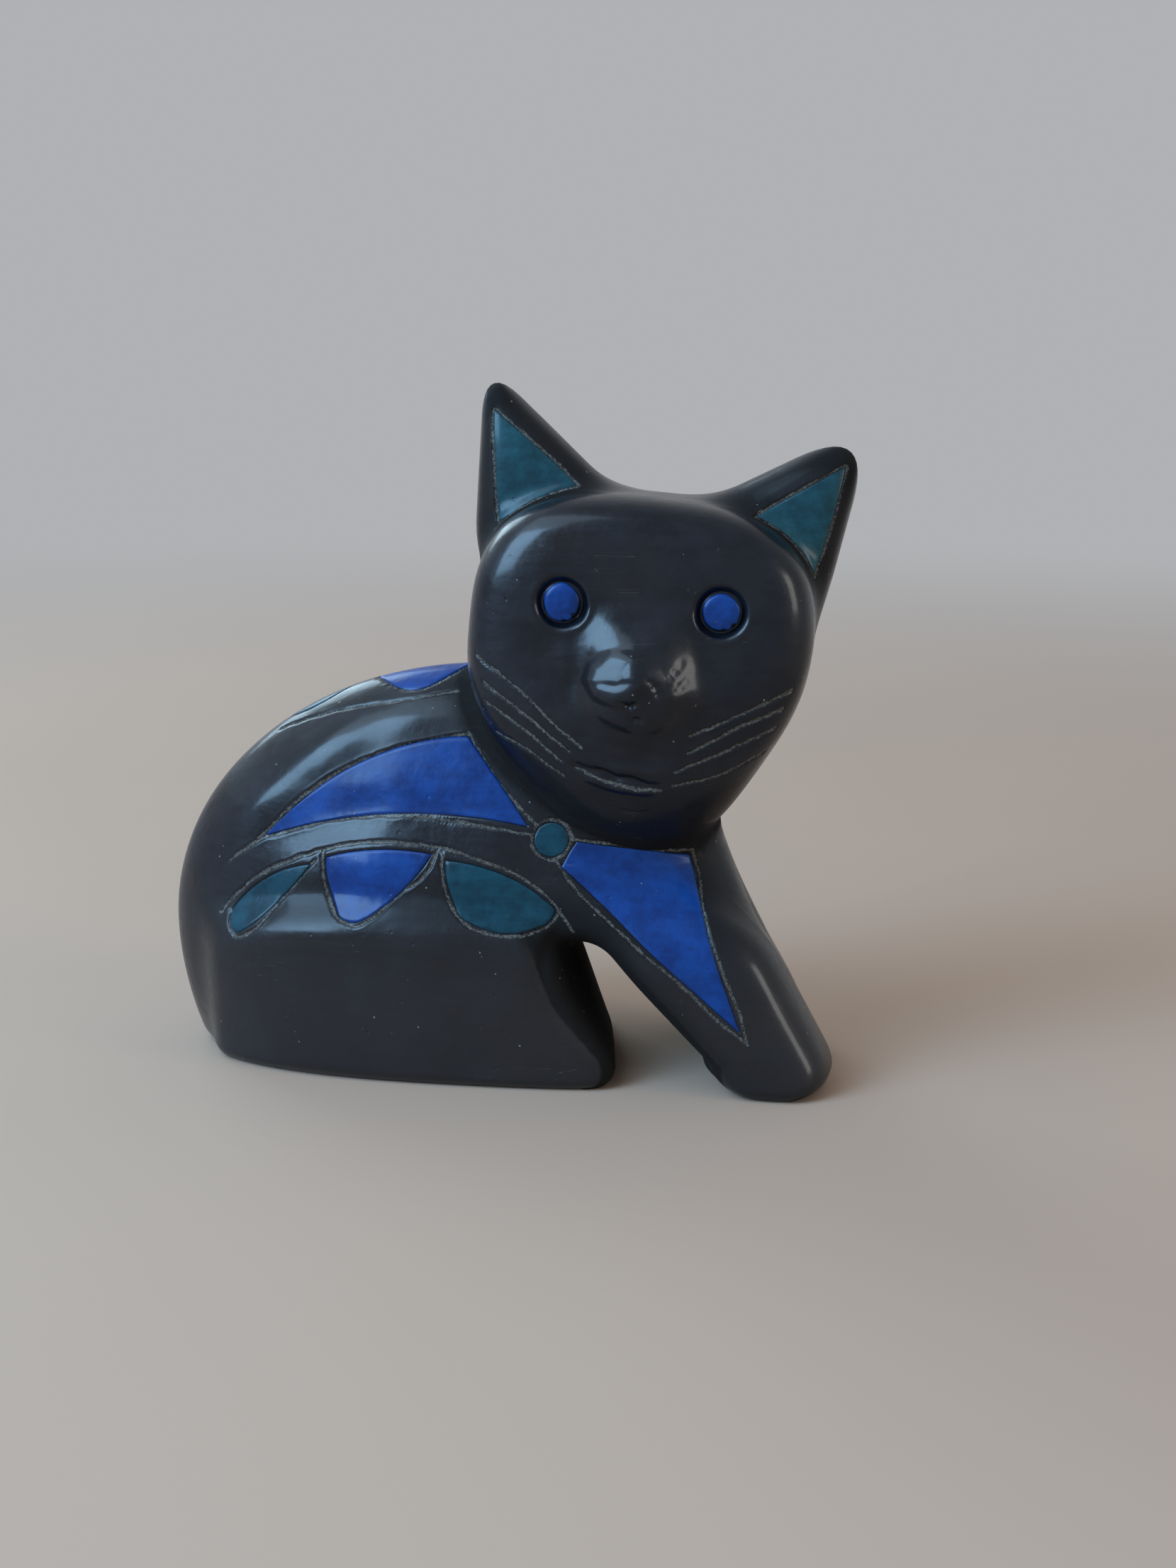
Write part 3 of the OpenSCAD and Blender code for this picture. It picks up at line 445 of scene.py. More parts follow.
# Pressed folds and scratches: points, depth (a raised welt where it is negative) and
# half width, all in millimetres
FACE_FOLDS = {
    "muzzle_fold": ([(-10, -2.5), (-9.5, -6.3), (-6.8, -10.1), (-1.3, -12.1), (4.3, -12.4),
                     (8.6, -9.5), (10.3, -6)], 0.5, 2.2),
    "lip_fold": ([(-9.3, -13.6), (-4.5, -13.7), (-0.7, -14.5), (3.5, -14.6), (7.5, -15.3)],
                 0.3, 1.1),
    "mouth": ([(-8.8, -18.5), (-6.2, -19.3), (-3.6, -19.4), (-1, -20.2), (1.7, -20.2),
               (4.6, -20.9), (7.2, -20.8)], 0.8, 0.75),
    "upper_lip": ([(-7.5, -17), (-2.5, -17.9), (3, -18.6), (8, -18.9)], -0.3, 1.1),
    "lower_lip": ([(-6.4, -20.8), (-0.5, -21.9), (6.1, -22)], -0.5, 0.9),
    "nose_side": ([(-6.8, 0.4), (-8, -1.7), (-8.2, -4), (-6.7, -6)], 0.14, 0.9),
    "nose_slit": ([(-6.3, -4.2), (-4.4, -3.2), (-2.1, -3.1), (-0.4, -2.3), (1.4, -2.3)],
                  0.45, 0.5),
    "nostril_left": ([(-1.4, -5.7), (0.2, -6.3), (1.5, -5.4)], 0.5, 0.6),
    "nostril_right": ([(3, -1.8), (4.2, -2.7), (5.1, -4.4)], 0.3, 0.7),
    "nose_chip": ([(0.4, -8.3), (1.6, -8.9), (2.7, -8.6)], 0.45, 0.7),
    "cheek_nick": ([(6.2, -1.2), (7.6, 0.2), (8.4, 1.6)], 0.15, 0.7),
    "cheek_dent": ([(7.8, -3.4), (9.3, -1.2)], 0.12, 0.8),
    "chin_scratch": ([(-2.8, -25.6), (2.6, -26.4), (6.1, -25.7)], 0.08, 0.3),
}
# Flat facets that a modelling tool leaves: outline, how far the facet turns to the cat's
# left and up, in degrees, and how flat it is
FACETS = [
    ([(-7.6, -3.3), (-6.9, -0.5), (-3.7, 1.5), (-0.5, 1.3), (1.2, -2.2), (0.6, -4.8),
      (-2.3, -6), (-5.6, -5.6)], -20, 16, 0.75),
    ([(-16.5, 2.6), (-12.5, 3.4), (-8.8, 2.4), (-8.6, -2), (-11.5, -3.6), (-16, -2)],
     -19, 12, 0.35),
]
# Folds of both flanks, laid out as those of the face
FLANK_FOLDS = {
    "flank_front": ([(13.8, 29.5), (11.2, 25), (11.4, 20.3), (13.4, 15.3), (16, 10.5)], 0.5, 1.1),
    "thigh_fold": ([(5.2, 26.7), (8, 25.4), (10.5, 23.1)], 0.15, 0.5),
    "thigh_scratch": ([(3.6, 21.7), (7, 22.3), (10.6, 22.5)], 0.06, 0.3),
    "ridge_scratch": ([(-7.7, 27), (0, 25.6), (6.5, 25.2)], 0.06, 0.3),
    "rump_nick": ([(-55.6, 44.1), (-54, 46)], 0.3, 0.4),
}
# Broad swells of the flank, laid out in the same way
FLANK_SWELLS = [
    ([(-50, 41), (-44, 48), (-38, 53.5), (-34.3, 56.7), (-25.3, 61.9), (-16, 65.3), (-8, 67)],
     -0.85, 4.0),
    ([(-42, 43.2), (-29, 47.8), (-19.9, 49.4), (-10.9, 49.7), (0, 48.4)], 0.55, 4.0),
    ([(-40, 32.5), (-29, 37), (-19, 38.6), (-8, 37.8), (1, 35)], -0.85, 5.0),
]


def flank_polylines():
    """Every line cut into the body, on both flanks and along the back, as points on it."""
    lines = []
    for side in (-1, 1):
        lines += [on_side(smooth_line(v), side) for v in FLANK_LINES.values()]
        lines += [on_leg(smooth_line(v), side) for v in LEG_LINES.values()]
        lines.append(on_side(ring(*DOT_MID, DOT_R, DOT_R), side))
        lines.append(on_top(smooth_line(np.array(SPINE_LINE) * [1, -side])))
    return lines + [on_top(outline(o)) for o in (WITHERS, BACK_LEAF)]


def face_polylines():
    """Every line cut into the head, as points on it."""
    return ([on_face(smooth_line(v)) for v in FACE_LINES.values()]
            + [on_face(outline(o)) for o in (EAR_FIELD_RIGHT, EAR_FIELD_LEFT)])


def pressed(p, folds):
    """Height that folds add: each is a bell curve across its line, uneven along it, and
    fades at its two ends."""
    height = np.zeros(len(p))
    for line, depth, width in folds:
        room = 3 * width
        ids = np.flatnonzero(((p > line.min(0) - room) & (p < line.max(0) + room)).all(1))
        share = np.linspace(0, 1, len(line))
        uneven = 1 + 0.25 * np.sin(17 * share + depth)
        deep = depth * np.sqrt(np.sin(math.pi * share)) * uneven
        gap = np.linalg.norm(p[ids, None] - line, axis=-1)
        bells = deep * np.exp(-(gap / width) ** 2)
        height[ids] -= bells[np.arange(len(ids)), np.abs(bells).argmax(1)]
    return height


def fold_line(points, width):
    """Smooth curve with points a third of the fold's width apart."""
    return smooth_line(points, width / 3)


def shaken(p):
    """Points moved by up to 0.15 mm, in waves 5 mm long: lines measured from them waver
    as a hand's do."""
    return p + 0.1 * np.stack([hand_wobble(p + k, 0.8) for k in (0, 5, 9)], -1)


def flank_folds():
    """Folds laid on both flanks; on the left one those ahead of the haunch lie back."""
    folds = []
    for side in (-1, 1):
        back = (side + 1) * SKEW * FLANK_OUT
        for points, depth, width in FLANK_FOLDS.values():
            shift = [back * (points[0][0] > HAUNCH_END), 0]
            folds.append((on_side(fold_line(points, width) - shift, side), depth, width))
    return folds


def span_gap(p, a, b):
    """Distance of each point from the nearest of the straight spans from a to b."""
    p, ab = p[:, None], b - a
    t = np.clip(((p - a) * ab).sum(-1) / ((ab * ab).sum(-1) + 1e-9), 0, 1)
    return np.linalg.norm(p - a - t[..., None] * ab, axis=-1).min(1)


def line_distance(p, lines):
    """Distance of each point from the nearest drawn line: the least distance from any
    of the lines' short straight spans, taken only where a span is close."""
    best = np.full(len(p), NO_LINE)
    for line in lines:
        low, high = line.min(0) - FAR, line.max(0) + FAR
        ids = np.flatnonzero(((p > low) & (p < high)).all(1))
        if len(ids):
            best[ids] = np.minimum(best[ids], span_gap(p[ids], line[:-1], line[1:]))
    return best


def inside_depth(uv, shape):
    """Depth of each flat point inside a closed outline, negative outside: distance from
    the nearest side, with the sign from how often a ray to the right crosses it."""
    a, b = shape[:-1], shape[1:]
    x, y = uv[:, :1], uv[:, 1:]
    gap = span_gap(uv, a, b)
    spans = (a[:, 1] > y) != (b[:, 1] > y)
    cross = a[:, 0] + (y - a[:, 1]) * (b - a)[:, 0] / ((b - a)[:, 1] + 1e-12)
    odd = (spans & (x < cross)).sum(1) % 2
    return np.where(odd == 1, gap, -gap)


def hand_wobble(p, size):
    """Slow unevenness of hand-smoothed clay: products of sines along slanted axes."""
    q = p / size
    x, y, z = q[..., 0], q[..., 1], q[..., 2]
    return (np.sin(x + 1.7 * np.sin(0.6 * z + 0.4)) * np.sin(1.1 * y + 0.8 * z)
            + 0.5 * np.sin(2.3 * z - 1.3 * x + 2) * np.sin(1.9 * x + 1.4 * y + 1))


# ---------- meshes ----------

def numbered(marked, first):
    """Numbers, counted on from first, for the extra points on each marked side of the
    grid's cells; -1 on the other sides."""
    table = np.full((*marked.shape, SPLIT - 1), -1)
    table[marked] = first + np.arange(marked.sum() * (SPLIT - 1)).reshape(-1, SPLIT - 1)
    return table


def refined_shell(surface, rows, around, near_detail):
    """Closed tube of quads whose cells near a drawn line are split into SPLIT x SPLIT
    smaller ones; the plain cells beside those take the extra points into their edges.
    surface(u, v) gives positions; near_detail(p) says which points are close to a line.
    Returns positions and faces; the first and last rows are left open."""
    u, v = np.meshgrid(np.arange(rows + 1.0), np.arange(around + 0.0), indexing="ij")
    coarse = surface(u.ravel(), v.ravel())
    close = near_detail(coarse).reshape(rows + 1, around)
    beside = np.roll(close, -1, 1)
    cell = close[:-1] | close[1:] | beside[:-1] | beside[1:]
    # The sides of split cells: those that run round the tube, and those along it
    across = np.pad(cell, ((0, 1), (0, 0))) | np.pad(cell, ((1, 0), (0, 0)))
    along = cell | np.roll(cell, 1, 1)
    ids = np.arange((rows + 1) * around).reshape(rows + 1, around)
    across_ids = numbered(across, ids.size)
    along_ids = numbered(along, across_ids.max() + 1)
    part = np.arange(1, SPLIT) / SPLIT
    i, j = np.nonzero(across)
    extra_u, extra_v = [np.repeat(i, SPLIT - 1)], [(j[:, None] + part).ravel()]
    i, j = np.nonzero(along)
    extra_u.append((i[:, None] + part).ravel())
    extra_v.append(np.repeat(j, SPLIT - 1))
    # Split cells
    i, j = np.nonzero(cell)
    k = (j + 1) % around
    grid = np.empty((len(i), SPLIT + 1, SPLIT + 1), int)
    grid[:, 0, 0], grid[:, 0, -1] = ids[i, j], ids[i, k]
    grid[:, -1, 0], grid[:, -1, -1] = ids[i + 1, j], ids[i + 1, k]
    grid[:, 0, 1:-1], grid[:, -1, 1:-1] = across_ids[i, j], across_ids[i + 1, j]
    grid[:, 1:-1, 0], grid[:, 1:-1, -1] = along_ids[i, j], along_ids[i, k]
    inner = np.arange(len(i) * (SPLIT - 1) ** 2).reshape(-1, SPLIT - 1, SPLIT - 1)
    grid[:, 1:-1, 1:-1] = along_ids.max() + 1 + inner
    down, over = np.meshgrid(part, part, indexing="ij")
    extra_u.append((i[:, None, None] + down).ravel())
    extra_v.append((j[:, None, None] + over).ravel())
    fine = np.stack([grid[:, :-1, :-1], grid[:, :-1, 1:], grid[:, 1:, 1:], grid[:, 1:, :-1]], -1)
    faces = fine.reshape(-1, 4).tolist()
    # Plain cells: each corner, then the extra points on the side after it
    i, j = np.nonzero(~cell)
    k = (j + 1) % around
    loops = np.column_stack([ids[i, j], across_ids[i, j], ids[i, k], along_ids[i, k],
                             ids[i + 1, k], across_ids[i + 1, j, ::-1],
                             ids[i + 1, j], along_ids[i, j, ::-1]])
    used = loops >= 0
    for kind in np.unique(used, axis=0):
        faces += loops[(used == kind).all(1)][:, kind].tolist()
    extra = surface(np.concatenate(extra_u).astype(float), np.concatenate(extra_v))
    return np.vstack([coarse, extra]), faces


def mesh_object(name, points, faces, attributes=None):
    """Object from positions in the part's frame, in metres, with named point values."""
    mesh = bpy.data.meshes.new(name)
    mesh.from_pydata(points.tolist(), [], faces)
    mesh.polygons.foreach_set("use_smooth", np.ones(len(mesh.polygons), bool))
    for key, values in (attributes or {}).items():
        mesh.attributes.new(key, "FLOAT", "POINT").data.foreach_set(
            "value", np.asarray(values, np.float32))
    mesh.validate()
    mesh.update()
    piece = bpy.data.objects.new(name, mesh)
    bpy.context.scene.collection.objects.link(piece)
    return piece


def placed(p):
    """From the cat's frame, in millimetres, to the part's, in metres."""
    return (p + PLACE) * MM


def slice_ray(turn):
    """Direction of a slice, from the pivot: a turn about Y."""
    return np.stack([np.cos(turn), 0 * turn, np.sin(turn)], -1)


def slice_table():
    """The body is a sheaf of slices through a line that lies across the table under the
    arch: the first lies on the table towards the paws, the last towards the rump. Gives
    the middle and half length of each, from where the clay starts and ends on it."""
    turn = np.radians(np.linspace(0, 180, 361))
    out = np.arange(PIVOT_STEP, PIVOT_REACH, PIVOT_STEP)
    p = PIVOT + out[:, None] * slice_ray(turn)[:, None]
    inside = body_form(p) < 0
    first = out[inside.argmax(1)]
    last = out[len(out) - 1 - inside[:, ::-1].argmax(1)]
    soften = np.ones(9) / 9
    middle, half = (np.convolve(np.pad(values, 4, "edge"), soften, "valid")
                    for values in ((first + last) / 2, (last - first) / 2))
    return turn, middle, half


SLICE_TURN, SLICE_MIDDLE, SLICE_HALF = slice_table()


def body_surface(u, v):
    """Point on the body: slice u turns about the pivot, faster midway than at its ends;
    v goes round the slice, spread as an oval's rays are."""
    share = u / BODY_ROWS
    turn = math.pi * (share - SLICE_EASE * np.sin(2 * math.pi * share) / (2 * math.pi))
    middle = np.interp(turn, SLICE_TURN, SLICE_MIDDLE)
    long = np.maximum(1, SLICE_SPREAD * np.interp(turn, SLICE_TURN, SLICE_HALF) / TRUNK_HALF_W)
    out = slice_ray(turn)
    angle = 2 * math.pi * v / BODY_AROUND
    ray = out * (-long * np.cos(angle))[:, None] + np.sin(angle)[:, None] * [0, -1.0, 0]
    ray /= np.linalg.norm(ray, axis=-1, keepdims=True)
    inward = np.maximum(-(ray * out).sum(-1), 1e-6)
    return project(body_form, PIVOT + out * middle[:, None], ray,
                   np.minimum(BODY_REACH, middle / inward))


SWELLS = [(on_side(fold_line(points, width), side), depth, width)
          for points, depth, width in FLANK_SWELLS for side in (-1, 1)]


def body_relief(p):
    """Height of the hand-smoothed skin over the plain form: slow unevenness, swells, and
    clay that fills the crease under the head."""
    return (BODY_WOBBLE * hand_wobble(p, BODY_WOBBLE_SIZE) + pressed(p, SWELLS)
            + fillet(head_form(to_head(p))))


def head_relief(q):
    """The head's height in the same way: slow unevenness, and clay in the crease."""
    return HEAD_WOBBLE * hand_wobble(q + 40, HEAD_WOBBLE_SIZE) + fillet(body_form(from_head(q)))


def fillet(gap):
    """Clay that fills a crease: highest where the gap to the other form closes."""
    return np.maximum(FILLET - np.maximum(gap, 0), 0) ** 2 / (4 * FILLET)


def drawn_cut(distance):
    """Groove of a needle-cut line, with a low burr beside it."""
    return (BURR * np.exp(-((distance - BURR_AT) / BURR_WIDTH) ** 2)
            - CUT_DEPTH * (1 - ramp(distance, CUT_IN, CUT_OUT)))


def pocket(flat, o):
    """Depth of a colour field's pocket under flat points: full a little inside its
    outline."""
    return POCKET * ramp(inside_depth(flat, outline(o)), *POCKET_WALL)


def worked_body(p, lines, folds):
    """Smoothed clay as worked by hand: uneven, with pockets under the colour fields, cut
    lines, folds, and a lower edge that draws in. Returns positions and point values."""
    n = outward(body_form, p)
    at = shaken(p)
    lift = body_relief(p) + pressed(at, folds)
    for side in (-1, 1):
        flank = np.flatnonzero((p[:, 1] * side > 0) & (n[:, 1] * side > 0.1))
        flat = p[flank][:, [0, 2]]
        for o in (SHOULDER, DOT, REAR_SCALLOP, MIDDLE_SCALLOP, FRONT_SCALLOP):
            lift[flank] -= pocket(flat, o)
        flat[:, 0] += leg_shift(flat[:, 1], side)
        lift[flank] -= pocket(flat, LEG)
    top = np.flatnonzero((p[:, 2] > BACK_LOW) & (n[:, 2] > 0.2))
    for o in (WITHERS, BACK_LEAF):
        lift[top] -= pocket(p[top][:, :2], o)
    cut = line_distance(at, lines)
    lift += drawn_cut(cut)
    # The lower edge: no relief on the table, and the wall draws in, but not in the arch
    low = ramp(p[:, 2], *TABLE_FADE)
    level = unit(n * [1, 1, 0])
    opening = arch(p)
    pull = drawn_in(p[:, 2], LOWER_EDGE_R) * ramp(opening, *EDGE_FADE)
    worked = p + n * (lift * low)[:, None] - level * pull[:, None]
    worked[:, 2] = np.maximum(worked[:, 2], 0)
    # Creases and the arch's walls: duller clay, with its colour darkened there as painted shade
    dull_and_shade = np.maximum(crease(cat_form, p, n), 1 - ramp(opening, *ARCH_FADE))
    return worked, {"cut": np.minimum(cut, FAR), "crease": dull_and_shade}


def crease(form, p, n):
    """How hemmed in a point is: what the clay beside it takes from the room around it."""
    taken = [np.clip(1 - form(p + n * h) / h, 0, 1) for h in CREASE_REACH]
    return sum(taken) / len(taken)


def head_surface(u, v):
    """Point on the head: u tilts from the face to the nape, with more steps over the face
    and the ears; v goes round from the crown, with more steps at the ear tips."""
    tilt = np.radians(np.interp(u / HEAD_ROWS, [0, 0.3, 0.45, 0.72, 0.82, 1],
                                [0.4, 42, 72, 102, 118, 179.6]))
    turn = np.radians(np.interp(v / HEAD_AROUND, [0, 0.12, 0.27, 0.5, 0.73, 0.88, 1],
                                [0, 28, 54, 180, 300, 334, 360]))
    ray = np.stack([-np.sin(turn) * np.sin(tilt), -np.cos(tilt), np.cos(turn) * np.sin(tilt)], -1)
    return project(head_form, np.broadcast_to(HEAD_CENTRE, ray.shape), ray, HEAD_REACH)


def nose_relief(x, z):
    """Nose: a soft pad that stands out of the muzzle, an oval with a rounded top."""
    pad = 1 - ((x - NOSE[0]) / NOSE_HALF_W) ** 2 - ((z - NOSE[1]) / NOSE_HALF_H) ** 2
    return NOSE_OUT * np.maximum(pad, 0) ** 1.25


def planed(q, n):
    """Height that brings the skin to the flat facets: the way along the normal to a plane
    at the skin's middle height there."""
    lift = np.zeros(len(q))
    for points, turn, up, share in FACETS:
        turn, up = math.radians(turn), math.radians(up)
        facing = np.array([math.sin(turn) * math.cos(up), -math.cos(turn) * math.cos(up),
                           math.sin(up)])
        depth = inside_depth(q[:, [0, 2]], np.array(points + points[:1], float))
        mask = share * ramp(depth, *FACET_FADE)
        level = q @ facing
        middle = (level * mask).sum() / mask.sum()
        lift += mask * (middle - level) / np.maximum(n @ facing, 0.3)
    return lift


def socket_relief(x, z):
    """Eye socket: a dish with a soft wall, a crack at the foot of the pellet that is
    deepest on its outer lower side, and a low rim below."""
    height = 0
    for eye_x, eye_z in EYES:
        r = np.hypot(x - eye_x, z - eye_z)
        lower = 0.5 - 0.5 * (z - eye_z) / np.maximum(r, 0.1)
        crack = np.exp(-((r - EYE_R - CRACK_WIDTH) / CRACK_WIDTH) ** 2)
        rim = np.exp(-((r - SOCKET_R - SOCKET_RIM_AT) / CRACK_WIDTH) ** 2)
        height = (height - SOCKET_DEEP * (1 - ramp(r, EYE_R + 0.2, SOCKET_R + 0.7))
                  - (CRACK + CRACK_LOWER * lower) * crack + SOCKET_RIM * lower * rim)
    return height


def worked_head(q, lines, folds):
    """The head as worked by hand: uneven, with eye sockets, nose, folds, pockets under
    the ear fields, and cut lines."""
    n = outward(head_form, q)
    at = shaken(q)
    lift = head_relief(q) + pressed(at, folds)
    face = np.flatnonzero(q[:, 1] < 2)
    xz = q[face][:, [0, 2]]
    lift[face] += nose_relief(*xz.T) + socket_relief(*xz.T)
    lift[face] += planed(q[face] + (n * lift[:, None])[face], n[face])
    for o in (EAR_FIELD_RIGHT, EAR_FIELD_LEFT):
        lift[face] -= pocket(xz, o)
    cut = line_distance(at, lines)
    lift += drawn_cut(cut)
    facing = n @ HEAD_AXES
    # The head's lower side and its creases: duller clay, with its colour darkened there as
    # painted shade
    under = ramp(-facing[:, 2], *UNDER_TILT) * (1 - ramp(q[:, 2], *UNDER_HEIGHT))
    dull_and_shade = np.maximum(crease(cat_form, from_head(q), facing), UNDER_SHARE * under)
    return from_head(q + n * lift[:, None]), {"cut": np.minimum(cut, FAR), "crease": dull_and_shade}


def fan(row, hub, flip=False):
    """Triangles from a hub point to a closed row of points."""
    row = np.asarray(row)
    a, b = (np.roll(row, -1), row) if flip else (row, np.roll(row, -1))
    return np.column_stack([np.full(len(row), hub), b, a]).tolist()


def band(outer, inner):
    """Quads between two closed rows of points."""
    return np.column_stack([outer, np.roll(outer, -1), np.roll(inner, -1), inner]).tolist()


def open_values(values, count):
    """Point values with count more points: far from any line, and in no crease."""
    plain = {"cut": FAR, "crease": 0.0}
    return {key: np.append(v, np.full(count, plain[key])) for key, v in values.items()}


def clay_body():
    """Skin of the body: slices turned about the pivot, then worked. The paws' end is
    closed flat, and the rump's end has the slab's recess: an offset of a straight spine."""
    lines = flank_polylines()
    p, faces = refined_shell(body_surface, BODY_ROWS, BODY_AROUND,
                             lambda c: line_distance(c, lines) < NEAR_LINE)
    worked, values = worked_body(p, lines, flank_folds())
    paws = np.arange(BODY_AROUND)
    rump = paws + BODY_ROWS * BODY_AROUND
    ends = worked[rump]
    spine = np.stack([np.clip(ends[:, 0], *SLAB_X), 0 * ends[:, 0]], -1)
    away = unit(ends[:, :2] - spine)
    rim = np.column_stack([spine + away * (SLAB_R + SLAB_GAP), np.zeros(len(rump))])
    roof = rim + [0, 0, SLAB_THICK + SLAB_GAP]
    middle = np.array([[worked[paws, 0].mean(), 0, 0], [sum(SLAB_X) / 2, 0, roof[0, 2]]])
    count = len(worked)
    lower, upper = (count + 2 + k * BODY_AROUND + paws for k in (0, 1))
    worked = np.vstack([worked, middle, rim, roof])
    faces += (fan(paws, count) + band(rump, lower) + band(lower, upper)
              + fan(upper, count + 1, flip=True))
    return mesh_object("clay_body", placed(worked), faces,
                       open_values(values, len(worked) - count))


def clay_head():
    """Skin of the head: rays from its middle, then worked, and closed at the face's and
    the nape's middle points."""
    lines = face_polylines()
    spots = [(eye, SOCKET_R + 2) for eye in on_face(EYES)] + FACE_SPOTS

    def fine(c):
        """Close to a line, an eye, the nose or the mouth."""
        near = [np.linalg.norm(c - middle, axis=1) < r for middle, r in spots]
        return (line_distance(c, lines) < NEAR_LINE) | np.any(near, 0)

    q, faces = refined_shell(head_surface, HEAD_ROWS, HEAD_AROUND, fine)
    folds = [(on_face(fold_line(points, width)), depth, width)
             for points, depth, width in FACE_FOLDS.values()]
    worked, values = worked_head(q, lines, folds)
    count = len(worked)
    face_row = np.arange(HEAD_AROUND)
    nape_row = face_row + HEAD_ROWS * HEAD_AROUND
    worked = np.vstack([worked, worked[face_row].mean(0), worked[nape_row].mean(0)])
    faces += fan(face_row, count) + fan(nape_row, count + 1, flip=True)
    return mesh_object("clay_head", placed(worked), faces, open_values(values, 2))


def slip_field(name, o, lay, form, size, to_cat=None):
    """A colour field: a four-sided patch laid on the skin, a little below it, whose rim
    turns down under the drawn line. A second layer underneath closes it."""
    rows, cols = size
    s, t = np.meshgrid(np.linspace(0, 1, rows + 1), np.linspace(0, 1, cols + 1), indexing="ij")
    flat = patch(o, s.ravel(), t.ravel())
    p = lay(flat)
    n = outward(form, p)
    rim = np.maximum(inside_depth(flat, outline(o, 30)), 0)
    sink = FIELD_SINK + RIM_SINK * (1 - ramp(rim, 0.0, RIM_WIDTH))
    relief = body_relief if form is body_form else head_relief
    upper = p + n * (relief(p) - sink)[:, None]
    lower = p - n * FIELD_THICK
    ids = np.arange((rows + 1) * (cols + 1)).reshape(rows + 1, cols + 1)
    base = ids.size
    quads = np.stack([ids[:-1, :-1], ids[1:, :-1], ids[1:, 1:], ids[:-1, 1:]], -1).reshape(-1, 4)
    rim_ids = np.concatenate([ids[:-1, 0], ids[-1, :-1], ids[:0:-1, -1], ids[0, :0:-1]])
    nxt = np.roll(rim_ids, -1)
    walls = np.stack([nxt, rim_ids, rim_ids + base, nxt + base], -1)
    faces = np.vstack([quads, quads[:, ::-1] + base, walls])
    points = np.vstack([upper, lower])
    centre = np.cross(upper[quads[:, 1]] - upper[quads[:, 0]],
                      upper[quads[:, 3]] - upper[quads[:, 0]]).sum(0)
    if centre @ n.mean(0) < 0:
        faces = faces[:, ::-1]
    if to_cat:
        points = to_cat(points)
    return mesh_object(name, placed(points), faces.tolist(),
                       {"rim": np.append(np.minimum(rim, FAR), np.zeros(base))})


def eye_pellet(name, x, z):
    """Flattened ball of slip-coloured clay, pressed in by hand. u runs from its crown to
    its foot and v round it: its radius grows with the sine of u, its height falls with
    the cosine, and its rim wavers and has two nicks on its lower side."""
    rows, around = 25, 72
    u, v = np.meshgrid(np.linspace(0, 1, rows), np.arange(around), indexing="ij")
    turn = 2 * math.pi * v / around
    r = EYE_R * (1 + 0.03 * np.sin(2 * turn + x) + 0.015 * np.sin(5 * turn))
    for at, deep in EYE_NICKS:
        r -= EYE_R * deep * np.exp(-((turn - at) / EYE_NICK_WIDTH) ** 2)
    bulge = np.sin(u * math.pi / 2) ** 0.8
    rise = (EYE_RISE * np.cos(u * math.pi / 2) ** 0.7
            + 0.05 * np.sin(3 * r * bulge + turn) * (1 - u))
    seat = on_face([(x, z)])[0]
    n = outward(head_form, seat[None])[0]
    side = np.cross(n, [0, 0, 1.0])
    side /= np.linalg.norm(side)
    up = np.cross(side, n)
    p = (seat - n * EYE_SUNK + (r * bulge * np.cos(turn))[..., None] * side
         + (EYE_TALL * r * bulge * np.sin(turn))[..., None] * up + rise[..., None] * n)
    foot = p[-1] - n * EYE_FOOT
    points = np.vstack([p[0].mean(0), p[1:].reshape(-1, 3), foot,
                        seat - n * (EYE_SUNK + EYE_FOOT)])
    rings = 1 + np.arange(rows * around).reshape(rows, around)
    faces = fan(rings[0], 0, flip=True)
    for upper, lower in zip(rings, rings[1:]):
        faces += band(lower, upper)
    faces += fan(rings[-1], len(points) - 1)
    return mesh_object(name, placed(from_head(points)), faces,
                       {"rim": np.full(len(points), FAR)})


# ---------- materials: colours in linear light ----------

BLACK_DEEP, BLACK_PALE = (0.0012, 0.0032, 0.007), (0.006, 0.0088, 0.0145)
WARM_SMOKE, LOWER_TONE = (0.014, 0.0105, 0.0085), (0.021, 0.019, 0.02)
# Partly the colour of unpolished clay, partly painted shade for creases, the arch and the head's
# lower side
UNPOLISHED_AND_SHADE = (0.006, 0.0052, 0.0045)
RAW_DEEP, RAW_PALE = (0.028, 0.028, 0.026), (0.125, 0.121, 0.11)
CLAY_SPECK, CLAY_SCRATCH = (0.3, 0.29, 0.28), (0.11, 0.105, 0.1)
SLIP_RIM, SLIP_WORN = (0.012, 0.014, 0.018), (0.01, 0.013, 0.02)
SLIP_SPECK, SLIP_SCRATCH = (0.2, 0.24, 0.28), (0.1, 0.13, 0.17)
FLOOR_DEEP, FLOOR_PALE = (0.43, 0.305, 0.23), (0.45, 0.32, 0.24)
BACKDROP = (0.43, 0.44, 0.455)
CLAY_COAT = 0.4


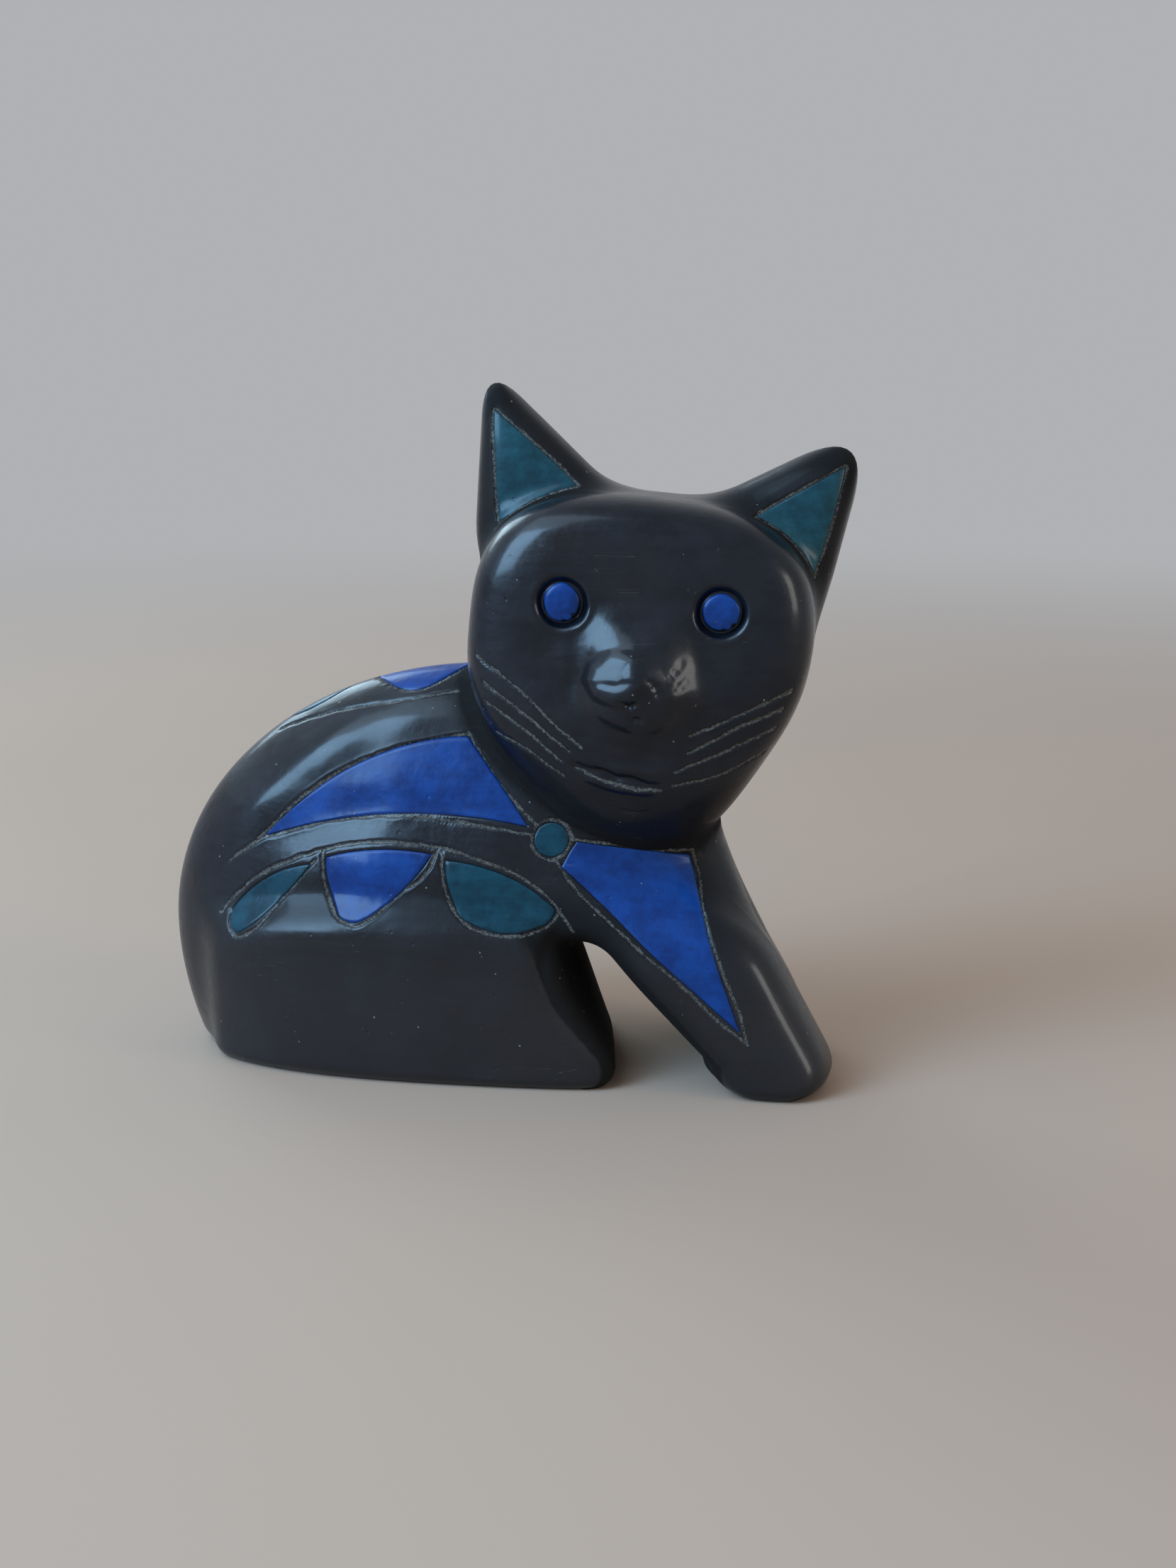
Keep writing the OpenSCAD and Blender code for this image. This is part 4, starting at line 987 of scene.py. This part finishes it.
class Shader:
    """Short calls for a node tree's nodes and links."""

    def __init__(self, tree):
        self.tree = tree

    def node(self, kind, **settings):
        """New node with its inputs fed, or its own settings set, by name."""
        node = self.tree.nodes.new(kind)
        for key, value in settings.items():
            if key in node.inputs:
                self.feed(value, node.inputs[key])
            else:
                setattr(node, key, value)
        return node

    def feed(self, value, socket):
        """Links a socket, or sets a constant; a colour gets its alpha."""
        if isinstance(value, bpy.types.NodeSocket):
            self.tree.links.new(value, socket)
        elif socket.type == "RGBA" and len(value) == 3:
            socket.default_value = (*value, 1)
        else:
            socket.default_value = value

    def maths(self, operation, a, b=0.0, clamp=False):
        """One step of arithmetic on two values."""
        node = self.node("ShaderNodeMath", operation=operation, use_clamp=clamp)
        self.feed(a, node.inputs[0])
        self.feed(b, node.inputs[1])
        return node.outputs[0]

    def weighted(self, *terms):
        """Sum of values, each times its own weight."""
        total = None
        for value, weight in terms:
            if weight != 1:
                value = self.maths("MULTIPLY", value, weight)
            total = value if total is None else self.maths("ADD", total, value)
        return total

    def remap(self, value, low, high, to_low=0.0, to_high=1.0):
        """Smooth step from to_low at low to to_high at high."""
        node = self.node("ShaderNodeMapRange", interpolation_type="SMOOTHSTEP")
        for socket, item in zip(node.inputs[:5], (value, low, high, to_low, to_high)):
            self.feed(item, socket)
        return node.outputs[0]

    def blend(self, factor, a, b):
        """Colour a, giving way to colour b as factor grows."""
        node = self.node("ShaderNodeMix", data_type="RGBA")
        self.feed(factor, node.inputs[0])
        self.feed(a, node.inputs[6])
        self.feed(b, node.inputs[7])
        return node.outputs[2]

    def tint(self, colour, mask, share, paint):
        """Colour with paint over it where mask is, up to share of it."""
        return self.blend(self.maths("MULTIPLY", mask, share), colour, paint)

    def noise(self, vector, scale, detail=3.0, rough=0.55):
        """Cloudy noise, about 0.5 in the middle."""
        return self.node("ShaderNodeTexNoise", Vector=vector, Scale=scale, Detail=detail,
                         Roughness=rough).outputs["Fac"]

    def dots(self, vector, scale, low, high):
        """Small dots at the middles of scattered cells."""
        cells = self.node("ShaderNodeTexVoronoi", Vector=vector, Scale=scale)
        return self.remap(cells.outputs["Distance"], low, high, 1.0, 0.0)

    def stretched(self, vector, scale, turn=(0, 0, 0)):
        """Place scaled and turned."""
        return self.node("ShaderNodeMapping", Vector=vector, Scale=scale,
                         Rotation=turn).outputs[0]

    def value_of(self, name):
        """A mesh's point value, by name."""
        return self.node("ShaderNodeAttribute", attribute_name=name).outputs["Fac"]

    def place(self):
        """Position in the object's own frame, in metres."""
        return self.node("ShaderNodeTexCoord").outputs["Object"]


def shader_group(name, inputs, outputs, build):
    """Node group with named inputs and value outputs; build(shader, inputs) gives what
    feeds the outputs."""
    tree = bpy.data.node_groups.new(name, "ShaderNodeTree")
    for key, kind, default in inputs:
        socket = tree.interface.new_socket(name=key, in_out="INPUT", socket_type=kind)
        if kind == "NodeSocketFloat":
            socket.default_value = default
    for key in outputs:
        tree.interface.new_socket(name=key, in_out="OUTPUT", socket_type="NodeSocketFloat")
    shader = Shader(tree)
    source = tree.nodes.new("NodeGroupInput")
    target = tree.nodes.new("NodeGroupOutput")
    for key, socket in build(shader, source.outputs).items():
        tree.links.new(socket, target.inputs[key])
    return tree


def build_burnish(s, given):
    """Uneven polish: soft clouds, and streaks that follow the rubbing stone."""
    place = given["Place"]
    clouds = s.noise(place, 90, 5, 0.6)
    streaks = s.noise(s.stretched(place, (70, 300, 620), (0.2, 0.5, 0.1)), 1.0, 3, 0.6)
    fine = s.noise(place, 1100, 2, 0.5)
    return {"Tone": s.weighted((clouds, 0.75), (streaks, 0.25)),
            "Gloss": s.weighted((streaks, 0.4), (clouds, 0.6)),
            "Height": s.weighted((streaks, 0.28), (fine, 0.25)),
            "Swell": s.weighted((s.noise(place, 210, 1.5, 0.4), 1),
                                (s.noise(place, 680, 2, 0.5), 0.35))}


def build_wear(s, given):
    """Small pits and pale specks where a slow noise is high, and a few stray scratches:
    thin bands at the middle of a noise stretched along them."""
    place = given["Place"]
    keep = s.maths("GREATER_THAN", s.noise(place, 160, 2), 0.6)
    pits = s.maths("MULTIPLY", s.dots(place, 420, 0.08, 0.2), keep)
    sparse = s.maths("GREATER_THAN", s.noise(place, 210, 2), 0.63)
    dust = s.dots(s.stretched(place, (1, 1.3, 0.9)), 620, 0.06, 0.13)
    scratches = 0.0
    for turn, shift in ((0.5, 0.0), (-0.7, 3.0), (1.4, 7.0)):
        lane = s.noise(s.stretched(place, (30, 60, 1100), (0.3 * shift, turn, shift)),
                       1.0, 1.0, 0.5)
        thin = s.remap(s.maths("ABSOLUTE", s.maths("SUBTRACT", lane, 0.5)), 0.0, 0.006, 1.0, 0.0)
        patches = s.noise(s.stretched(place, (1, 1, 1), (shift, 0, 1)), 70, 2)
        gate = s.maths("GREATER_THAN", patches, 0.68)
        scratches = s.maths("MAXIMUM", scratches, s.maths("MULTIPLY", thin, gate))
    return {"Pits": pits, "Specks": s.maths("MULTIPLY", dust, sparse), "Scratches": scratches}


def build_cut(s, given):
    """Line cut with a needle: its edge is torn, and its floor is raw and grainy."""
    place = given["Place"]
    width = s.weighted((s.noise(place, 1700, 4, 0.7), 0.75), (s.noise(place, 420, 2), 0.35))
    near = s.maths("SUBTRACT", s.maths("SUBTRACT", width, 0.27), given["Distance"])
    return {"Mask": s.remap(near, -0.03, 0.07), "Grain": s.noise(place, 2400, 2, 0.7)}


BURNISH = shader_group("burnish", [("Place", "NodeSocketVector", None)],
                       ["Tone", "Gloss", "Height", "Swell"], build_burnish)
WEAR = shader_group("wear", [("Place", "NodeSocketVector", None)],
                    ["Pits", "Specks", "Scratches"], build_wear)
CUT = shader_group("cut_line", [("Place", "NodeSocketVector", None),
                                ("Distance", "NodeSocketFloat", FAR)],
                   ["Mask", "Grain"], build_cut)


def new_material(name):
    """New material, its shader calls and its surface node."""
    material = bpy.data.materials.new(name)
    material.use_nodes = True
    return material, Shader(material.node_tree), material.node_tree.nodes["Principled BSDF"]


def grouped(s, tree, **given):
    """Outputs of a node group whose inputs are fed by name."""
    node = s.node("ShaderNodeGroup", node_tree=tree)
    for key, value in given.items():
        s.feed(value, node.inputs[key])
    return node.outputs


def bump(s, height, strength, distance, normal=None):
    """Normal tilted by a height, on top of another normal if there is one."""
    node = s.node("ShaderNodeBump", Strength=strength, Distance=distance, Height=height)
    if normal:
        s.feed(normal, node.inputs["Normal"])
    return node.outputs[0]


def polished(s, surface, colour, rough, specular, coat, coat_rough, normal):
    """Feeds the surface node of a stone-polished material."""
    for key, value in (("Base Color", colour), ("Roughness", rough),
                       ("Specular IOR Level", specular), ("Coat Weight", coat),
                       ("Coat Roughness", coat_rough), ("Normal", normal)):
        s.feed(value, surface.inputs[key])


def worked_normal(s, polish, wear, raw=None):
    """Normal of hand-burnished clay: a slow swell, then streaks, pits and raw grain."""
    swell = bump(s, polish["Swell"], 1.0, 0.00018)
    height = s.maths("SUBTRACT", polish["Height"], wear["Pits"])
    if raw:
        height = s.maths("ADD", height, raw)
    return bump(s, height, 0.7, 0.00012, swell)


def burnished_clay(name, drawn=True):
    """Reduced black clay, stone-polished: smoke-warm patches, a lighter and warmer lower zone,
    creases that are matte and darkened with painted shade, and raw clay that shows in the cut
    lines."""
    material, s, surface = new_material(name)
    place = s.place()
    polish = grouped(s, BURNISH, Place=place)
    wear = grouped(s, WEAR, Place=place)
    colour = s.blend(s.remap(polish["Tone"], 0.35, 0.65), BLACK_DEEP, BLACK_PALE)
    colour = s.tint(colour, s.remap(s.noise(place, 34, 3), 0.5, 0.72), 0.4, WARM_SMOKE)
    # Lighter and warmer towards the bottom, with an uneven upper edge
    height = s.node("ShaderNodeSeparateXYZ", Vector=place).outputs["Z"]
    uneven_height = s.weighted((height, 1), (polish["Tone"], 0.016))
    colour = s.tint(colour, s.remap(uneven_height, 0.02, 0.046, 1.0, 0.0), 0.6, LOWER_TONE)
    rough = s.remap(polish["Gloss"], 0.35, 0.65, 0.28, 0.42)
    coat, raw_grain = CLAY_COAT, None
    if drawn:
        # Creases, the arch's walls and the head's lower side: less coat and rougher, and a darker
        # brown-black colour as painted shade
        dull_and_shade = s.remap(s.value_of("crease"), 0.1, 0.42)
        colour = s.tint(colour, dull_and_shade, 0.8, UNPOLISHED_AND_SHADE)
        rough = s.weighted((rough, 1), (dull_and_shade, 0.5))
        coat = s.maths("SUBTRACT", CLAY_COAT, s.maths("MULTIPLY", dull_and_shade, CLAY_COAT))
        cut = grouped(s, CUT, Place=place, Distance=s.value_of("cut"))
        raw = s.blend(s.remap(cut["Grain"], 0.35, 0.65), RAW_DEEP, RAW_PALE)
        colour = s.blend(cut["Mask"], colour, raw)
        rough = s.maths("ADD", rough, s.maths("MULTIPLY", cut["Mask"], 0.5), clamp=True)
        raw_grain = s.maths("MULTIPLY", s.maths("MULTIPLY", cut["Grain"], cut["Mask"]), 2.0)
    colour = s.tint(colour, wear["Specks"], 0.6, CLAY_SPECK)
    colour = s.tint(colour, wear["Scratches"], 0.3, CLAY_SCRATCH)
    polished(s, surface, colour, rough, 0.19, coat, 0.15,
             worked_normal(s, polish, wear, raw_grain))
    return material


def rubbed_slip(name, deep, light):
    """Coloured slip rubbed with the same stone: patchy, thinner and darker at its rim."""
    material, s, surface = new_material(name)
    place = s.place()
    polish = grouped(s, BURNISH, Place=place)
    wear = grouped(s, WEAR, Place=place)
    patchy = s.weighted((polish["Tone"], 0.6), (s.noise(place, 300, 5, 0.65), 0.4))
    colour = s.blend(s.remap(patchy, 0.38, 0.62), deep, light)
    ragged_rim = s.weighted((s.value_of("rim"), 1), (s.noise(place, 900, 3), 0.6))
    colour = s.tint(colour, s.remap(ragged_rim, 0.35, 0.75, 1.0, 0.0), 0.75, SLIP_RIM)
    colour = s.tint(colour, s.remap(s.noise(place, 520, 5, 0.7), 0.62, 0.72), 0.35, SLIP_WORN)
    colour = s.tint(colour, wear["Specks"], 0.5, SLIP_SPECK)
    colour = s.tint(colour, wear["Scratches"], 0.3, SLIP_SCRATCH)
    rough = s.remap(polish["Gloss"], 0.35, 0.65, 0.3, 0.44)
    polished(s, surface, colour, rough, 0.14, 0.25, 0.17, worked_normal(s, polish, wear))
    return material


CLAY = burnished_clay("burnished_black_clay")
PLAIN_CLAY = burnished_clay("plain_black_clay", drawn=False)
COBALT = rubbed_slip("cobalt_slip", (0.0003, 0.023, 0.125), (0.0013, 0.045, 0.22))
TEAL = rubbed_slip("teal_slip", (0.0005, 0.022, 0.036), (0.002, 0.052, 0.08))
PALE_TEAL = rubbed_slip("pale_teal_slip", (0.0035, 0.034, 0.048), (0.009, 0.074, 0.098))


# ---------- the cat ----------

def finish(piece, material, slot, *nodes):
    """Gives a piece its material and body, and hides the nodes it stands for. slot is not used.
    """
    piece.data.materials.append(material)
    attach(piece, "root")
    if nodes:
        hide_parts(*nodes)


body = clay_body()
finish(body, CLAY, "black_clay", "body_shell", "haunch_right", "haunch_left",
       "foreleg_right", "foreleg_left")
head = clay_head()
finish(head, CLAY, "black_clay", "head_shell", "ear_right", "ear_left", "muzzle")

for tag, side in (("right", -1), ("left", 1)):
    for key, shape, lay, size, material, slot in (
            ("shoulder_field", SHOULDER, on_side, (90, 30), COBALT, "cobalt_slip"),
            ("leg_field", LEG, on_leg, (80, 40), COBALT, "cobalt_slip"),
            ("collar_dot", DOT, on_side, (20, 20), TEAL, "teal_slip"),
            ("rear_scallop", REAR_SCALLOP, on_side, (36, 16), TEAL, "teal_slip"),
            ("middle_scallop", MIDDLE_SCALLOP, on_side, (30, 30), COBALT, "cobalt_slip"),
            ("front_scallop", FRONT_SCALLOP, on_side, (36, 26), TEAL, "teal_slip")):
        name = f"{key}_{tag}"
        piece = slip_field(f"{name}_slip", shape, lambda flat, lay=lay: lay(flat, side),
                           body_form, size)
        finish(piece, material, slot, name)
finish(slip_field("withers_leaf_slip", WITHERS, on_top, body_form, (36, 30)), COBALT,
       "cobalt_slip", "withers_leaf")
finish(slip_field("back_leaf_slip", BACK_LEAF, on_top, body_form, (30, 16)), TEAL,
       "teal_slip", "back_leaf")
for tag, shape in (("right", EAR_FIELD_RIGHT), ("left", EAR_FIELD_LEFT)):
    finish(slip_field(f"ear_field_{tag}_slip", shape, on_face, head_form, (36, 36), from_head),
           PALE_TEAL, "teal_slip", f"ear_field_{tag}")
for tag, (x, z) in zip(("right", "left"), EYES):
    finish(eye_pellet(f"eye_{tag}_pellet", x, z), COBALT, "cobalt_slip", f"eye_{tag}")

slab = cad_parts["base_slab"]
slab.data.materials.clear()
slab.data.materials.append(PLAIN_CLAY)


# ---------- floor, light and camera ----------

# Floor, lamps and the camera's distance in metres; what the camera looks at in the cat's
# own frame, in millimetres
FLOOR_R, LIGHT_AWAY, LIGHT_RAISED = 4.0, 0.9, 0.06
LOOK_AT, AZIMUTH, ELEVATION, AWAY = (19.0, -20.0, 56.0), math.radians(9), math.radians(12), 0.38


def pale_floor():
    """Flat round sheet, a fan about its middle. Far off it fades, for the eye and for
    reflections, into the backdrop's own colour."""
    turn = np.linspace(0, 2 * math.pi, 96, endpoint=False)
    rim = FLOOR_R * np.stack([np.cos(turn), np.sin(turn), 0 * turn], -1)
    piece = mesh_object("floor", np.vstack([[0, 0, 0], rim]),
                        fan(np.arange(len(rim)) + 1, 0, flip=True))
    material, s, surface = new_material("pale_floor")
    place = s.place()
    tone = s.remap(s.noise(place, 3, 3), 0.3, 0.7)
    s.feed(s.blend(tone, FLOOR_DEEP, FLOOR_PALE), surface.inputs["Base Color"])
    surface.inputs["Roughness"].default_value = 0.9
    away = s.node("ShaderNodeVectorMath", operation="LENGTH")
    s.feed(place, away.inputs[0])
    path = s.node("ShaderNodeLightPath").outputs
    seen = s.maths("MAXIMUM", s.maths("MAXIMUM", path["Is Camera Ray"], path["Is Glossy Ray"]),
                   path["Is Transmission Ray"])
    far = s.node("ShaderNodeEmission", Color=BACKDROP)
    mix = s.node("ShaderNodeMixShader")
    s.feed(s.maths("MULTIPLY", seen, s.remap(away.outputs["Value"], 0.15, 1.0)), mix.inputs[0])
    s.feed(surface.outputs[0], mix.inputs[1])
    s.feed(far.outputs[0], mix.inputs[2])
    s.feed(mix.outputs[0], s.tree.nodes["Material Output"].inputs["Surface"])
    piece.data.materials.append(material)


def aimed(place, target):
    """Rotation that points a lamp or camera from its place to a target."""
    return Direction(np.asarray(target) - place).to_track_quat("-Z", "Y").to_euler()


def soft_window(name, bearing, height, wide, tall, brightness, colour):
    """Soft box LIGHT_AWAY from the cat: its bearing is taken from the cat's right side
    towards its front, its height is an angle too, and so is the room it fills."""
    bearing, height = math.radians(bearing), math.radians(height)
    place = LIGHT_AWAY * np.array([math.sin(bearing) * math.cos(height),
                                   -math.cos(bearing) * math.cos(height), math.sin(height)])
    data = bpy.data.lights.new(name, "AREA")
    data.shape = "RECTANGLE"
    data.size, data.size_y = (2 * LIGHT_AWAY * math.tan(math.radians(a) / 2)
                              for a in (wide, tall))
    data.energy = math.pi * data.size * data.size_y * brightness
    data.color = colour
    lamp = bpy.data.objects.new(name, data)
    lamp.visible_camera = False
    lamp.location = place + [0, 0, LIGHT_RAISED]
    lamp.rotation_euler = aimed(place, (0, 0, 0))
    bpy.context.scene.collection.objects.link(lamp)


pale_floor()
soft_window("window_near", -46, 29, 28, 34, 12.5, (0.38, 0.67, 1.0))
soft_window("window_back", -138, 30, 26, 26, 5.2, (0.6, 0.84, 1.0))
soft_window("pale_wall", -95, 40, 60, 50, 0.4, (0.6, 0.83, 1.0))
soft_window("upper_wall", -46, 58, 40, 26, 2.6, (0.55, 0.78, 1.0))
soft_window("doorway", 75, 14, 14, 24, 5.0, (1.0, 0.97, 0.93))

world = bpy.data.worlds.new("room_light")
bpy.context.scene.world = world
world.use_nodes = True
world.node_tree.nodes["Background"].inputs["Color"].default_value = (*BACKDROP, 1)
world.node_tree.nodes["Background"].inputs["Strength"].default_value = 1.0

camera_data = bpy.data.cameras.new("camera")
camera_data.sensor_fit = "VERTICAL"
camera_data.sensor_height = 36
camera_data.lens = 50
camera_data.clip_start = 0.01
camera = bpy.data.objects.new("camera", camera_data)
bpy.context.scene.collection.objects.link(camera)
target = placed(np.array(LOOK_AT))
towards = np.array([math.sin(AZIMUTH) * math.cos(ELEVATION),
                    -math.cos(AZIMUTH) * math.cos(ELEVATION), math.sin(ELEVATION)])
camera.location = target + AWAY * towards
camera.rotation_euler = aimed(target + AWAY * towards, target)
bpy.context.scene.camera = camera

bpy.context.scene.view_settings.view_transform = "Standard"
